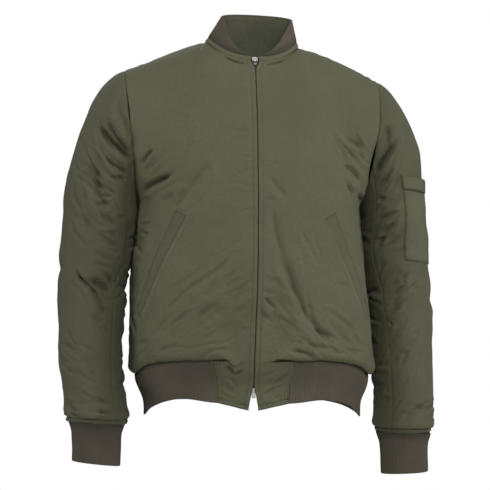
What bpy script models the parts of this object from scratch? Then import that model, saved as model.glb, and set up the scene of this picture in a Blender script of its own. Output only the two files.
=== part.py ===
"""Bomber jacket, worn and hollow: two fronts, back, two-piece sleeves, knitted ribs, zip and pockets.

Metres, +Z up. The front faces -Y and the wearer's left is +X. The origin lies between the
shoulders, level with the middle of the shoulder seams, where the wearer holds the jacket up.
"""
from collections import namedtuple
from math import cos, exp, hypot, pi, radians, sin

import bmesh
import bpy
from mathutils import Matrix, Vector

# Walls and gaps
seam_gap = 0.0003
shell_wall = 0.0024
rib_wall = 0.0030
rib_rise = 0.0009
facing_wall = 0.0012
band_wall = 0.0022
patch_wall = 0.0016
patch_gap = 0.0007

# Torso: half width, and depth before and behind the side seam, at each height
TorsoRow = namedtuple("TorsoRow", "height half_width front back")
torso_rows = [
    TorsoRow(-0.530, 0.197, 0.119, 0.110),
    TorsoRow(-0.490, 0.197, 0.123, 0.111),
    TorsoRow(-0.440, 0.199, 0.127, 0.110),
    TorsoRow(-0.390, 0.199, 0.129, 0.109),
    TorsoRow(-0.340, 0.1975, 0.129, 0.110),
    TorsoRow(-0.290, 0.1915, 0.128, 0.114),
    TorsoRow(-0.240, 0.1875, 0.126, 0.119),
    TorsoRow(-0.190, 0.188, 0.123, 0.123),
]
section_squareness = 0.86
shell_hem = -0.530

# The shell hangs over the hem rib: how far it stands out at each height above the hem seam
OverhangRow = namedtuple("OverhangRow", "above out")
overhang_rows = [
    OverhangRow(0.000, 0.0010),
    OverhangRow(0.006, 0.0085),
    OverhangRow(0.018, 0.0120),
    OverhangRow(0.050, 0.0095),
    OverhangRow(0.110, 0.0035),
    OverhangRow(0.180, 0.0000),
]
overhang_start = 0.035
overhang_full = 0.12

# The hem runs higher at the front and the back than at the sides, and its rib changes in length
HemRow = namedtuple("HemRow", "turn lift length")
hem_rows = [
    HemRow(0.00, 0.020, 0.068),
    HemRow(0.10, 0.022, 0.069),
    HemRow(0.20, 0.021, 0.063),
    HemRow(0.32, 0.013, 0.063),
    HemRow(0.46, -0.010, 0.062),
    HemRow(0.60, -0.006, 0.062),
    HemRow(0.90, 0.016, 0.066),
    HemRow(1.00, 0.016, 0.066),
]
hem_lift_reach = 0.20

# Hem rib: how far it draws in below the hem seam
HemRibRow = namedtuple("HemRibRow", "below narrow")
hem_rib_rows = [
    HemRibRow(0.000, 0.0000),
    HemRibRow(0.014, 0.0040),
    HemRibRow(0.036, 0.0140),
    HemRibRow(0.068, 0.0145),
]
hem_rib_steps = 3

# Hem tabs at the foot of the zip: columns of the front they span, and the notch between them
tab_columns = 2
tab_drop = 0.011
notch_top = -0.546
notch_foot = -0.585
notch_half = 0.0077

# Armhole: a loop from the underarm up the front to the shoulder and down the back
shoulder_tip = Vector((0.216, 0.004, -0.028))
underarm_height = -0.238
armhole_front = 0.064
armhole_back = 0.068
armhole_point = 0.22
armhole_run = 0.028
underarm_dip = 0.030

# Neck seam: half width, depths and heights at the centre front, the shoulder and the centre back
neck_half_width = 0.080
neck_front = 0.062
neck_back = 0.062
neck_heights = (-0.008, 0.027, 0.033)
neck_shoulder_turn = 0.53
shoulder_crown = 0.0060

# Front edges, along the zip
edge_gap = 0.0007
slider_gap = 0.0062
slider_notch = (-0.026, -0.009)

# Sleeve: centre and half sizes of the ring at each height below the bicep, and where its seams lie
SleeveRow = namedtuple("SleeveRow", "height middle_x middle_y half_width half_depth seam_angle")
sleeve_rows = [
    SleeveRow(-0.622, 0.2605, -0.020, 0.0480, 0.0450, 55.0),
    SleeveRow(-0.614, 0.2615, -0.019, 0.0525, 0.0530, 55.0),
    SleeveRow(-0.600, 0.2630, -0.016, 0.0530, 0.0560, 55.0),
    SleeveRow(-0.560, 0.2662, -0.008, 0.0515, 0.0585, 55.0),
    SleeveRow(-0.500, 0.2685, 0.006, 0.0525, 0.0625, 54.0),
    SleeveRow(-0.440, 0.2668, 0.017, 0.0550, 0.0660, 52.0),
    SleeveRow(-0.380, 0.2630, 0.020, 0.0580, 0.0690, 48.0),
    SleeveRow(-0.320, 0.2570, 0.014, 0.0605, 0.0725, 38.0),
    SleeveRow(-0.265, 0.2527, 0.006, 0.0605, 0.0750, 45.0),
]
bicep_height = -0.265
sleeve_hem = -0.622
armhole_seam_angle = 60.0

# Cuffs: narrowing and forward shift of the ring below the sleeve hem
CuffRow = namedtuple("CuffRow", "below narrow forward")
cuff_rows = [
    CuffRow(0.000, 0.0000, 0.000),
    CuffRow(0.018, 0.0062, 0.003),
    CuffRow(0.067, 0.0078, 0.011),
]
cuff_length = 0.067
cuff_slant = 0.003
cuff_steps = 2
cuff_flatten = 0.80

# Pose: the wearer's right shoulder stands higher, the hips turn and sway, the cuffs swing and the
# neck and collar lean to the left
shoulder_tilt = 0.022
tilt_fade = (-0.500, -0.260)
hip_sway = 0.009
hip_turn = radians(-6.0)
hip_fade = (-0.600, -0.320)
cuff_swing = 0.006
cuff_tilt = 0.008
swing_fade = (-0.640, -0.480)
neck_sway = 0.0065
neck_fade = (-0.010, 0.085)
collar_sway = 0.006
collar_fade = (0.030, 0.090)
left_lift = Vector((0.0035, 0.0, 0.0005))
right_lift = Vector((0.0015, 0.0, 0.0020))
lift_fade = (0.150, 0.225)
lift_height_fade = (-0.220, -0.080)

# Arms: how far to the wearer's left the inner and outer sides of the right sleeve and the outer side
# of the left one are moved at each height
ArmRow = namedtuple("ArmRow", "height right_inner right_outer left_outer")
arm_rows = [
    ArmRow(-0.640, 0.0000, 0.0000, 0.0000),
    ArmRow(-0.600, 0.0004, 0.0000, -0.0008),
    ArmRow(-0.540, 0.0030, 0.0004, -0.0006),
    ArmRow(-0.480, 0.0044, 0.0010, 0.0000),
    ArmRow(-0.420, 0.0025, 0.0010, 0.0010),
    ArmRow(-0.378, -0.0004, 0.0010, 0.0006),
    ArmRow(-0.345, 0.0026, 0.0008, -0.0024),
    ArmRow(-0.300, 0.0016, 0.0002, -0.0044),
    ArmRow(-0.250, 0.0010, -0.0006, -0.0055),
    ArmRow(-0.200, -0.0012, -0.0010, -0.0045),
    ArmRow(-0.130, 0.0000, -0.0010, -0.0016),
    ArmRow(-0.060, 0.0000, 0.0000, -0.0010),
]
arm_inner = (0.300, 0.230)
arm_outer = (0.260, 0.315)

# Mesh steps
front_columns = 11
neck_columns = 5
lower_steps = 10
upper_steps = 12
cap_steps = 7
arm_steps = 12
lower_spread = 1.6
neck_share = neck_columns / front_columns

# Fine half-rib columns for each plain column of a knitted band
hem_halves = 10
cuff_halves = 6
collar_halves = 10

# Collar: height and inward lean round the neck, from the centre front to the centre back
band_height = 0.008
CollarRow = namedtuple("CollarRow", "turn height lean")
collar_rows = [
    CollarRow(0.00, 0.0025, 12.0),
    CollarRow(0.05, 0.0040, 12.0),
    CollarRow(0.12, 0.0100, 16.0),
    CollarRow(0.20, 0.0200, 20.0),
    CollarRow(0.30, 0.0310, 25.0),
    CollarRow(0.40, 0.0385, 25.5),
    CollarRow(0.53, 0.0435, 22.0),
    CollarRow(0.75, 0.0465, 13.0),
    CollarRow(1.00, 0.0470, 8.0),
]
collar_steps = 2
facing_below_top = 0.004

# Front pockets: a slanted welt, its front edge by turn round the torso and height
WeltRow = namedtuple("WeltRow", "along height front")
welt_rows = [
    WeltRow(0.00, -0.273, 0.183),
    WeltRow(0.25, -0.317, 0.225),
    WeltRow(0.50, -0.361, 0.267),
    WeltRow(0.75, -0.404, 0.310),
    WeltRow(1.00, -0.440, 0.354),
]
welt_turn = 0.045
welt_rise = 0.012
welt_steps = 14
welt_columns = 3

# Sleeve pocket on the wearer's left arm: columns round the sleeve, and heights at its front edge
pocket_columns = (7, 14)
pocket_top = -0.195
pocket_flap = -0.219
pocket_foot = -0.338
pocket_slope = -0.008
pocket_steps = 13

# Largest folds: troughs (deep > 0) and ridges (deep < 0) between two points of a piece
Fold = namedtuple("Fold", "turn_a height_a turn_b height_b deep wide")
front_left_folds = [
    Fold(0.075, -0.290, 0.200, -0.420, 0.0045, 0.016),
    Fold(0.200, -0.420, 0.300, -0.480, 0.0030, 0.018),
]
front_right_folds = [
    Fold(0.330, -0.215, 0.250, -0.200, 0.0050, 0.014),
    Fold(0.110, -0.365, 0.160, -0.420, 0.0025, 0.016),
]
back_folds = [
    Fold(0.640, -0.250, 0.780, -0.200, 0.0045, 0.018),
    Fold(0.620, -0.420, 0.800, -0.455, 0.0040, 0.020),
]
ArmFold = namedtuple("ArmFold", "angle_a row_a angle_b row_b deep wide")
arm_folds = [
    ArmFold(120.0, 2.2, 75.0, 5.4, 0.0060, 0.015),
    ArmFold(110.0, 8.5, 62.0, 10.2, 0.0040, 0.015),
    ArmFold(70.0, 11.8, 110.0, 13.6, 0.0045, 0.016),
    ArmFold(250.0, 3.0, 292.0, 5.8, 0.0055, 0.016),
    ArmFold(245.0, 12.2, 290.0, 11.0, 0.0040, 0.016),
]

# Metres for one unit of a fold's two coordinates
torso_fold_scale = (0.56, 1.0)
arm_fold_scale = (radians(0.062), 0.030)

# Zip: tapes and teeth, distances from the centre front
zip_gap = 0.0005
tape_wall = 0.0008
tape_inner = 0.0031
tape_inner_at_slider = 0.0054
tape_outer = 0.0140
chain_half = 0.0028
chain_wall = 0.0022
chain_top = -0.0170
zip_foot = -0.552
pin_half = 0.0016
box_half = 0.0034
box_top = -0.5600
box_foot = -0.5690
box_wall = 0.0028

# Zip slider, in its own frame: x across, y inward from the cloth's outer side, z up along the zip
slider_height = -0.0085
slider_half = 0.0046
slider_foot_half = 0.0030
slider_length = (-0.0072, 0.0075)
slider_depth = (-0.0006, 0.0042)
bridge_half = 0.0013
bridge_length = (-0.0040, 0.0052)
bridge_out = -0.0040
bridge_bar = 0.0012

# Pull tab: a frame hung in the bridge, with a solid paddle below it
pull_pivot = Vector((0.0, -0.0017, -0.0015))
pull_wall = 0.0013
pull_half = 0.0038
pull_rail = 0.0014
pull_slot = 0.0058
pull_length = 0.0175
pull_chamfer = 0.0012


def smooth(value):
    """0 to 1, level at both ends."""
    value = min(max(value, 0.0), 1.0)
    return value * value * (3.0 - 2.0 * value)


def hermite(start, end, start_slope, end_slope, t):
    """Cubic from start to end, leaving and arriving with the two slopes."""
    t2 = t * t
    t3 = t2 * t
    return (start * (2 * t3 - 3 * t2 + 1) + start_slope * (t3 - 2 * t2 + t)
            + end * (3 * t2 - 2 * t3) + end_slope * (t3 - t2))


def read(rows, at, name):
    """One named column of a table, on a smooth curve through its rows."""
    last = len(rows) - 1
    if at <= rows[0][0]:
        return getattr(rows[0], name)
    if at >= rows[last][0]:
        return getattr(rows[last], name)
    k = max(i for i in range(last) if rows[i][0] <= at)
    span = rows[k + 1][0] - rows[k][0]

    def slope(i):
        low, high = rows[max(i - 1, 0)], rows[min(i + 1, last)]
        return (getattr(high, name) - getattr(low, name)) / (high[0] - low[0])

    return hermite(getattr(rows[k], name), getattr(rows[k + 1], name),
                   slope(k) * span, slope(k + 1) * span, (at - rows[k][0]) / span)


def fold_depth(folds, x, y, scale):
    """How far the largest folds press a point in, by its place on the piece."""
    total = 0.0
    for fold in folds:
        ax, ay = fold[0] * scale[0], fold[1] * scale[1]
        bx, by = fold[2] * scale[0], fold[3] * scale[1]
        px, py = x * scale[0], y * scale[1]
        length = hypot(bx - ax, by - ay)
        along = ((px - ax) * (bx - ax) + (py - ay) * (by - ay)) / length ** 2
        across = abs((px - ax) * (by - ay) - (py - ay) * (bx - ax)) / length
        fade = smooth(along / 0.3 + 0.2) * smooth((1 - along) / 0.3 + 0.2)
        total += fold.deep * fade * exp(-(across / fold.wide) ** 2)
    return total


# Torso surface, for the wearer's left half

def section(turn, height):
    """Torso at a height: turn is 0 at the centre front, 0.5 at the side seam, 1 at the centre back."""
    across = sin(pi * turn) ** section_squareness if 0 < turn < 1 else 0.0
    along = abs(cos(pi * turn)) ** section_squareness if turn != 0.5 else 0.0
    half_width = read(torso_rows, height, "half_width")
    depth = read(torso_rows, height, "front" if turn < 0.5 else "back")
    facing = -1.0 if turn < 0.5 else 1.0
    point = Vector((half_width * across, facing * depth * along, height))
    outward = Vector((point.x / half_width ** 2, point.y / depth ** 2, 0.0)).normalized()
    gate = smooth((turn - overhang_start) / (overhang_full - overhang_start))
    point += outward * read(overhang_rows, height - shell_hem, "out") * gate
    lift = read(hem_rows, turn, "lift")
    point.z += lift * (1.0 - smooth((height - shell_hem) / hem_lift_reach))
    return point


def hem_band(turn, below):
    """Band below the hem seam: the hem rib and the hem tabs lie on it."""
    seam = section(turn, shell_hem)
    inward = Vector((-seam.x, -seam.y, 0.0)).normalized()
    return seam + inward * read(hem_rib_rows, below, "narrow") + Vector((0, 0, -below))


def armhole(angle):
    """Armhole seam: 0 at the underarm, pi / 2 at the front, pi at the shoulder tip."""
    reach = armhole_front if sin(angle) > 0 else armhole_back
    folded = angle if angle <= pi else 2 * pi - angle
    level = (1 - armhole_point) * cos(folded) + armhole_point * (1 - 2 * folded / pi)
    drop = (1 + level) / 2
    return Vector((shoulder_tip.x - armhole_run * drop ** 1.6,
                   shoulder_tip.y * (1 - drop) - reach * sin(angle),
                   shoulder_tip.z + (underarm_height - shoulder_tip.z) * drop))


def neck(turn):
    """Neck seam: turn is 0 at the centre front and 1 at the centre back."""
    across = sin(pi * turn)
    front_height, side_height, back_height = neck_heights
    depth = neck_front if turn < 0.5 else neck_back
    if turn < 0.5:
        height = front_height + (side_height - front_height) * across ** 2.6
    else:
        height = side_height + (back_height - side_height) * cos(pi * turn) ** 2
    return Vector((neck_half_width * across, -depth * cos(pi * turn), height))


def neck_line(back, u):
    """Neck part of a panel's upper edge, turned for its own centre line."""
    share = u / neck_share
    return neck(1 - share * (1 - neck_shoulder_turn)) if back else neck(share * neck_shoulder_turn)


def top_edge(back, u):
    """Upper edge of a front or of the back: the neck seam, then the shoulder seam."""
    if u <= neck_share:
        return neck_line(back, u)
    share = (u - neck_share) / (1 - neck_share)
    point = neck(neck_shoulder_turn).lerp(shoulder_tip, share)
    point.z += shoulder_crown * sin(pi * share ** 0.75)
    return point


def soft_top_edge(back, u):
    """Upper edge with its corner rounded, which the surface below it follows."""
    reach = min(0.16, u, 1 - u)
    steps = [top_edge(back, u + reach * k / 3) for k in range(-3, 4)]
    return sum(steps, Vector()) / len(steps)


def lower_height(u, v):
    """Height on the lower part of a panel: v is 0 at the hem seam and 1 level with the underarm."""
    top = underarm_height - underarm_dip * smooth((1 - u) / 0.45)
    return shell_hem + (top - shell_hem) * v


def torso_turn(back, u):
    return 1 - 0.5 * u if back else 0.5 * u


def upper_curve(back, u, v):
    """Column of the upper part, as a cubic from the underarm level to the top edge."""
    turn = torso_turn(back, u)
    height = lower_height(u, 1)
    step = 0.004
    upward = (section(turn, height + step) - section(turn, height - step)) / (2 * step)
    facing = -1.0 if back else 1.0
    rise_start = upward * (0.27 + 0.05 * sin(pi * u))
    rise_neck = Vector((0, 0.45 * facing, 0.89)) * (0.12 if back else 0.20)
    rise_corner = Vector((-0.20, 0.90 * facing, 0.25)) * 0.27
    rise_shoulder = Vector((0, 0.93 * facing, 0.37)) * 0.29
    rise_end = rise_neck.lerp(rise_corner, smooth(u / neck_share))
    rise_end = rise_end.lerp(rise_shoulder, smooth((u - neck_share) / (1 - neck_share)))
    blend = smooth((u - 0.55) / 0.45)
    side = 1.0 if back else -1.0
    arm_start = Vector((0, side * pi * armhole_front, 0.07))
    arm_end = Vector((0, -side * pi * armhole_front, 0.07))
    return hermite(section(turn, height), soft_top_edge(back, u), rise_start.lerp(arm_start, blend),
                   rise_end.lerp(arm_end, blend), v)


def upper_point(back, u, v):
    """Upper part of a panel, fitted to the armhole at its side and to the true top edge."""
    angle = -pi * v if back else pi * v
    miss = armhole(angle % (2 * pi)) - upper_curve(back, 1.0, v)
    corner = top_edge(back, u) - soft_top_edge(back, u)
    return upper_curve(back, u, v) + miss * u ** 3 + corner * v ** 5


def panel_point(back, u, row):
    """Point of a panel's grid: rows run from the hem seam to the top edge."""
    if row <= lower_steps:
        v = (row / lower_steps) ** lower_spread
        return section(torso_turn(back, u), lower_height(u, v))
    return upper_point(back, u, (row - lower_steps) / upper_steps)


def front_edge(point):
    """The front edges stand just apart, and further apart round the zip slider."""
    low, high = slider_notch
    point.x = max(point.x, edge_gap + (slider_gap - edge_gap) * smooth((point.z - low) / (high - low)))
    return point


# Sleeve surface, for the wearer's left arm

def sleeve_ring(angle, height):
    """Sleeve at a height: angle 0 faces the body, pi / 2 the front and pi the outside."""
    return Vector((read(sleeve_rows, height, "middle_x") - read(sleeve_rows, height, "half_width") * cos(angle),
                   read(sleeve_rows, height, "middle_y") - read(sleeve_rows, height, "half_depth") * sin(angle),
                   height))


def seam_turned(angle, seam):
    """Moves the angles round the sleeve so that its two seams lie at the given one."""
    start = radians(armhole_seam_angle)
    seam = radians(seam)
    folded = angle if angle <= pi else 2 * pi - angle
    if folded < start:
        moved = folded * seam / start
    else:
        moved = seam + (folded - start) * (pi - seam) / (pi - start)
    return moved if angle <= pi else 2 * pi - moved


def cap_point(angle, v):
    """Sleeve head: v is 0 at the armhole and 1 at the bicep."""
    start = armhole(angle)
    end = sleeve_ring(seam_turned(angle, read(sleeve_rows, bicep_height, "seam_angle")), bicep_height)
    high = (1 - cos(angle)) / 2
    leave = Vector((0.20 + 0.74 * high, -0.30 * sin(angle), -1.0 + 0.64 * high)).normalized()
    arrive = Vector((0.02, 0.0, -1.0))
    return hermite(start, end, leave * (0.030 + 0.170 * high), arrive * (0.030 + 0.190 * high), v)


def sleeve_point(angle, row):
    """Point of the sleeve's grid: rows run from the armhole to the sleeve hem."""
    if row <= cap_steps:
        return cap_point(angle, row / cap_steps)
    share = (row - cap_steps) / arm_steps
    height = bicep_height + (sleeve_hem - bicep_height) * (1 - (1 - share) ** 1.25)
    return sleeve_ring(seam_turned(angle, read(sleeve_rows, height, "seam_angle")), height)


def cuff_point(angle, below):
    """Cuff below the sleeve hem, drawn in and slightly flattened."""
    seam = sleeve_point(angle, cap_steps + arm_steps)
    middle = Vector((sleeve_rows[0].middle_x, sleeve_rows[0].middle_y, sleeve_hem))
    reach = seam - middle
    share = below / cuff_length
    reach *= 1 - read(cuff_rows, below, "narrow") / reach.length
    reach.y *= 1 - (1 - cuff_flatten) * smooth(share * 1.6)
    below += cuff_slant * share * cos(angle)
    return middle + reach + Vector((0, -read(cuff_rows, share * cuff_length, "forward"), -below))


# Pose

def faded(value, fade):
    """0 below the first of two limits, 1 above the second."""
    return smooth((value - fade[0]) / (fade[1] - fade[0]))


def shoulder_lift(point):
    """Moves each shoulder by its own small amount."""
    lift = left_lift if point.x > 0 else right_lift
    return lift * (faded(abs(point.x), lift_fade) * faded(point.z, lift_height_fade))


def arm_shift(point):
    """How far a point of a sleeve is moved to the wearer's left, on its inner or its outer side."""
    inner = faded(abs(point.x), arm_inner)
    outer = faded(abs(point.x), arm_outer)
    if point.x > 0:
        return outer * read(arm_rows, point.z, "left_outer")
    right_inner = read(arm_rows, point.z, "right_inner")
    right_outer = read(arm_rows, point.z, "right_outer")
    return inner * right_inner + outer * right_outer


def pose_torso(point):
    """Tilts the shoulders, sways the neck and collar and, lower down, turns and sways the hips."""
    tilt = shoulder_tilt * faded(point.z, tilt_fade)
    hips = 1 - faded(point.z, hip_fade)
    sway = hip_sway * hips + neck_sway * faded(point.z, neck_fade)
    sway += collar_sway * faded(point.z, collar_fade)
    turned = Matrix.Rotation(hip_turn * hips, 3, "Z") @ point
    return turned + shoulder_lift(point) + Vector((sway, 0, -tilt * point.x))


def pose_sleeve(point):
    """Tilts the sleeves with the shoulders, swings both cuffs to the wearer's left and moves the
    sides of the sleeves."""
    cuffs = 1 - faded(point.z, swing_fade)
    tilt = shoulder_tilt + cuff_tilt * cuffs
    shift = cuff_swing * cuffs + arm_shift(point)
    return point + shoulder_lift(point) + Vector((shift, 0, -tilt * point.x))


# Grids to solids

def grid_normals(grid, ring=False):
    """Unit normal at each point of a grid of rows."""
    rows, columns = len(grid), len(grid[0])
    normals = []
    for j in range(rows):
        line = []
        for i in range(columns):
            if ring:
                before, after = grid[j][i - 1], grid[j][(i + 1) % columns]
            else:
                before, after = grid[j][max(i - 1, 0)], grid[j][min(i + 1, columns - 1)]
            below, above = grid[max(j - 1, 0)][i], grid[min(j + 1, rows - 1)][i]
            line.append((after - before).cross(above - below).normalized())
        normals.append(line)
    return normals


def key(point):
    return tuple(round(value * 20000) for value in point)


class Panel:
    """A cloth piece: a grid of outer points, with normals that point out of the garment."""

    def __init__(self, name, grid, wall, ring=False, flip=False, halves=0, fine=None):
        self.name = name
        self.wall = wall
        self.ring = ring
        self.halves = halves
        self.fine = fine
        self.outer = grid
        self.normals = grid_normals(grid, ring)
        if flip:
            self.normals = [[-normal for normal in line] for line in self.normals]

    def inward(self, i, j, normal):
        """Direction into the panel, square to its border, or none inside it."""
        grid = self.outer
        rows, columns = len(grid), len(grid[0])
        point = grid[j][i]
        total = Vector()
        if self.ring:
            along_u = grid[j][(i + 1) % columns] - grid[j][i - 1]
        else:
            along_u = grid[j][min(i + 1, columns - 1)] - grid[j][max(i - 1, 0)]
        along_v = grid[min(j + 1, rows - 1)][i] - grid[max(j - 1, 0)][i]
        if not self.ring and i in (0, columns - 1):
            step = normal.cross(along_v).normalized()
            inner = grid[j][1 if i == 0 else columns - 2] - point
            total += step if step.dot(inner) > 0 else -step
        if j in (0, rows - 1):
            step = normal.cross(along_u).normalized()
            inner = grid[1 if j == 0 else rows - 2][i] - point
            total += step if step.dot(inner) > 0 else -step
        return total


def sew(panels):
    """Shares normals where panels meet, pulls their borders apart and works out the inner points."""
    shared = {}
    for panel in panels:
        for j, line in enumerate(panel.outer):
            for i, point in enumerate(line):
                shared.setdefault(key(point), []).append(panel.normals[j][i])
    for panel in panels:
        outer, inner, joined = [], [], []
        for j, line in enumerate(panel.outer):
            outer_line, inner_line, joined_line = [], [], []
            for i, point in enumerate(line):
                meeting = shared[key(point)]
                normal = sum(meeting, Vector()).normalized()
                mitre = 1.0 / max(normal.dot(panel.normals[j][i]), 0.7)
                back_off = panel.inward(i, j, normal) * (seam_gap * 0.6)
                outer_line.append(point + back_off)
                inner_line.append(point + back_off - normal * panel.wall * mitre)
                joined_line.append(normal)
            outer.append(outer_line)
            inner.append(inner_line)
            joined.append(joined_line)
        panel.outer, panel.inner, panel.normals = outer, inner, joined


def square(bm, a, b, c, d):
    """Two triangles, split along the same line whichever way round the corners come."""
    bm.faces.new((a, b, c))
    bm.faces.new((a, c, d))


def rim(bm, a, b, b_inner, a_inner):
    """Edge strip between an outer and an inner side, split the same way on both sides of a seam."""
    rank = Vector((0.31, 0.87, 1.0))
    if rank.dot(a.co) > rank.dot(b.co):
        square(bm, a, b, b_inner, a_inner)
    else:
        square(bm, b, b_inner, a_inner, a)


def wall_mesh(outer, inner, ring=False):
    """Closed wall between two grids of the same size."""
    bm = bmesh.new()
    rows, columns = len(outer), len(outer[0])
    out, back = [[[bm.verts.new(point) for point in line] for line in grid] for grid in (outer, inner)]
    wide = columns if ring else columns - 1
    for j in range(rows - 1):
        for i in range(wide):
            k = (i + 1) % columns
            square(bm, out[j][i], out[j][k], out[j + 1][k], out[j + 1][i])
            square(bm, back[j][i], back[j][k], back[j + 1][k], back[j + 1][i])
    for i in range(wide):
        k = (i + 1) % columns
        rim(bm, out[0][i], out[0][k], back[0][k], back[0][i])
        rim(bm, out[-1][i], out[-1][k], back[-1][k], back[-1][i])
    if not ring:
        for j in range(rows - 1):
            rim(bm, out[j][0], out[j + 1][0], back[j + 1][0], back[j][0])
            rim(bm, out[j][-1], out[j + 1][-1], back[j + 1][-1], back[j][-1])
    bmesh.ops.recalc_face_normals(bm, faces=bm.faces)
    return bm


def ribbed_mesh(panel):
    """Closed wall with fine ribs raised on its outer side over a plain inner side."""
    bm = bmesh.new()
    plain = [[bm.verts.new(point) for point in line] for line in panel.inner]
    fine = [[bm.verts.new(point) for point in line] for line in ribbed_points(panel)]
    rows, fine_count, plain_count = len(fine), len(fine[0]), len(plain[0])
    halves = panel.halves
    fine_wide = fine_count if panel.ring else fine_count - 1
    plain_wide = plain_count if panel.ring else plain_count - 1
    for j in range(rows - 1):
        for i in range(fine_wide):
            k = (i + 1) % fine_count
            square(bm, fine[j][i], fine[j][k], fine[j + 1][k], fine[j + 1][i])
        for i in range(plain_wide):
            k = (i + 1) % plain_count
            square(bm, plain[j][i], plain[j][k], plain[j + 1][k], plain[j + 1][i])
    for j in (0, rows - 1):
        for i in range(plain_wide):
            a, b = plain[j][i], plain[j][(i + 1) % plain_count]
            chain = [fine[j][(i * halves + step) % fine_count] for step in range(halves + 1)]
            for step in range(halves):
                bm.faces.new((chain[step], chain[step + 1], a if step < halves // 2 else b))
            bm.faces.new((a, chain[halves // 2], b))
    if not panel.ring:
        for end in (0, -1):
            for j in range(rows - 1):
                rim(bm, fine[j][end], fine[j + 1][end], plain[j + 1][end], plain[j][end])
    bmesh.ops.recalc_face_normals(bm, faces=bm.faces)
    return bm


def ribbed_points(panel):
    """Outer points of a knitted band: straight between the seam's points along its sewn edge, where
    row 0 lies, and raised on every second fine column below it."""
    rows, count = len(panel.outer), len(panel.outer[0])
    wide = count if panel.ring else count - 1
    grid = []
    for j in range(rows):
        line = []
        for i in range(wide):
            k = (i + 1) % count
            for step in range(panel.halves):
                share = step / panel.halves
                if j == 0:
                    point = panel.outer[j][i].lerp(panel.outer[j][k], share)
                elif step == 0 and i == 0 and not panel.ring:
                    point = panel.outer[j][0].copy()
                else:
                    normal = panel.normals[j][i].lerp(panel.normals[j][k], share).normalized()
                    point = panel.fine(i + share, j) + normal * (rib_rise if step % 2 else 0.0)
                line.append(point)
        if not panel.ring:
            line.append(panel.outer[j][-1].copy())
        grid.append(line)
    return grid


def material(name, colour, roughness, metallic=0.0):
    made = bpy.data.materials.get(name)
    if made is None:
        made = bpy.data.materials.new(name)
        made.use_nodes = True
        shader = made.node_tree.nodes["Principled BSDF"]
        shader.inputs["Base Color"].default_value = (*colour, 1.0)
        shader.inputs["Roughness"].default_value = roughness
        shader.inputs["Metallic"].default_value = metallic
        made.diffuse_color = (*colour, 1.0)
    return made


def shell_cloth():
    return material("olive_shell", (0.095, 0.098, 0.060), 0.75)


def rib_cloth():
    return material("brown_rib", (0.066, 0.059, 0.044), 0.9)


def facing_cloth():
    return material("olive_facing", (0.075, 0.076, 0.048), 0.85)


def tape_cloth():
    return material("zip_tape", (0.020, 0.020, 0.016), 0.8)


def bright_metal():
    return material("nickel", (0.62, 0.60, 0.57), 0.3, 1.0)


def dark_metal():
    return material("gunmetal", (0.10, 0.10, 0.10), 0.4, 1.0)


def place(name, bm, finish, sharp=50.0):
    """Makes the object for a sub-part from its bmesh."""
    mesh = bpy.data.meshes.new(name)
    bm.to_mesh(mesh)
    bm.free()
    mesh.materials.append(finish)
    mesh.shade_smooth()
    mesh.set_sharp_from_angle(angle=radians(sharp))
    made = bpy.data.objects.new(name, mesh)
    bpy.context.scene.collection.objects.link(made)
    return made


def flipped(point):
    return Vector((-point.x, point.y, point.z))


def on_side(side, point):
    return point if side > 0 else flipped(point)


# Cloth pieces

def front_grid(side, folds):
    grid = []
    for row in range(lower_steps + upper_steps + 1):
        line = [panel_point(False, i / front_columns, row) for i in range(front_columns + 1)]
        line[0] = front_edge(line[0])
        grid.append([pose_torso(on_side(side, point)) for point in line])
    return pressed(grid, folds, lambda i, j: (0.5 * i / front_columns, grid[j][i].z), side)


def back_grid(folds):
    grid = []
    for row in range(lower_steps + upper_steps + 1):
        half = [panel_point(True, i / front_columns, row) for i in range(front_columns + 1)]
        line = [flipped(point) for point in half[:0:-1]] + half
        grid.append([pose_torso(point) for point in line])

    def place_of(i, j):
        return (1 - 0.5 * abs(i - front_columns) / front_columns, grid[j][i].z)

    return pressed(grid, folds, place_of, -1)


def pressed(grid, folds, place_of, side, scale=torso_fold_scale):
    """Presses the largest folds into the inside of a grid, leaving its borders as they are."""
    normals = grid_normals(grid)
    rows, columns = len(grid), len(grid[0])
    moved = []
    for j in range(rows):
        line = []
        for i in range(columns):
            edge = min(i, columns - 1 - i, j, rows - 1 - j)
            x, y = place_of(i, j)
            depth = fold_depth(folds, x, y, scale) * (0.0 if edge == 0 else 1.0)
            line.append(grid[j][i] - normals[j][i] * depth * side)
        moved.append(line)
    return moved


def sleeve_grid(side, first, last, folds):
    """Columns of the sleeve from one armhole point to another, counted round from the underarm."""
    count = 2 * upper_steps
    grid = []
    for row in range(cap_steps + arm_steps + 1):
        line = [sleeve_point(2 * pi * (i % count) / count, row) for i in range(first, last + 1)]
        grid.append([pose_sleeve(on_side(side, point)) for point in line])
    return pressed(grid, folds, lambda i, j: (360.0 * (first + i) / count, j), -side, arm_fold_scale)


def tab_below(turn, share):
    """Length of a hem tab below the seam: it reaches lower towards the zip."""
    outer = 0.5 * tab_columns / front_columns
    return share * (read(hem_rows, turn, "length") + tab_drop * (1 - turn / outer))


def tab_grid(side):
    grid = []
    for row in range(hem_rib_steps + 1):
        line = []
        for i in range(tab_columns + 1):
            turn = 0.5 * i / front_columns
            point = hem_band(turn, tab_below(turn, row / hem_rib_steps))
            if i == 0:
                open_share = (notch_top - point.z) / (notch_top - notch_foot)
                point.x = edge_gap + (notch_half - edge_gap) * min(max(open_share, 0.0), 1.0)
            line.append(pose_torso(on_side(side, point)))
        grid.append(line)
    return grid


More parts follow.
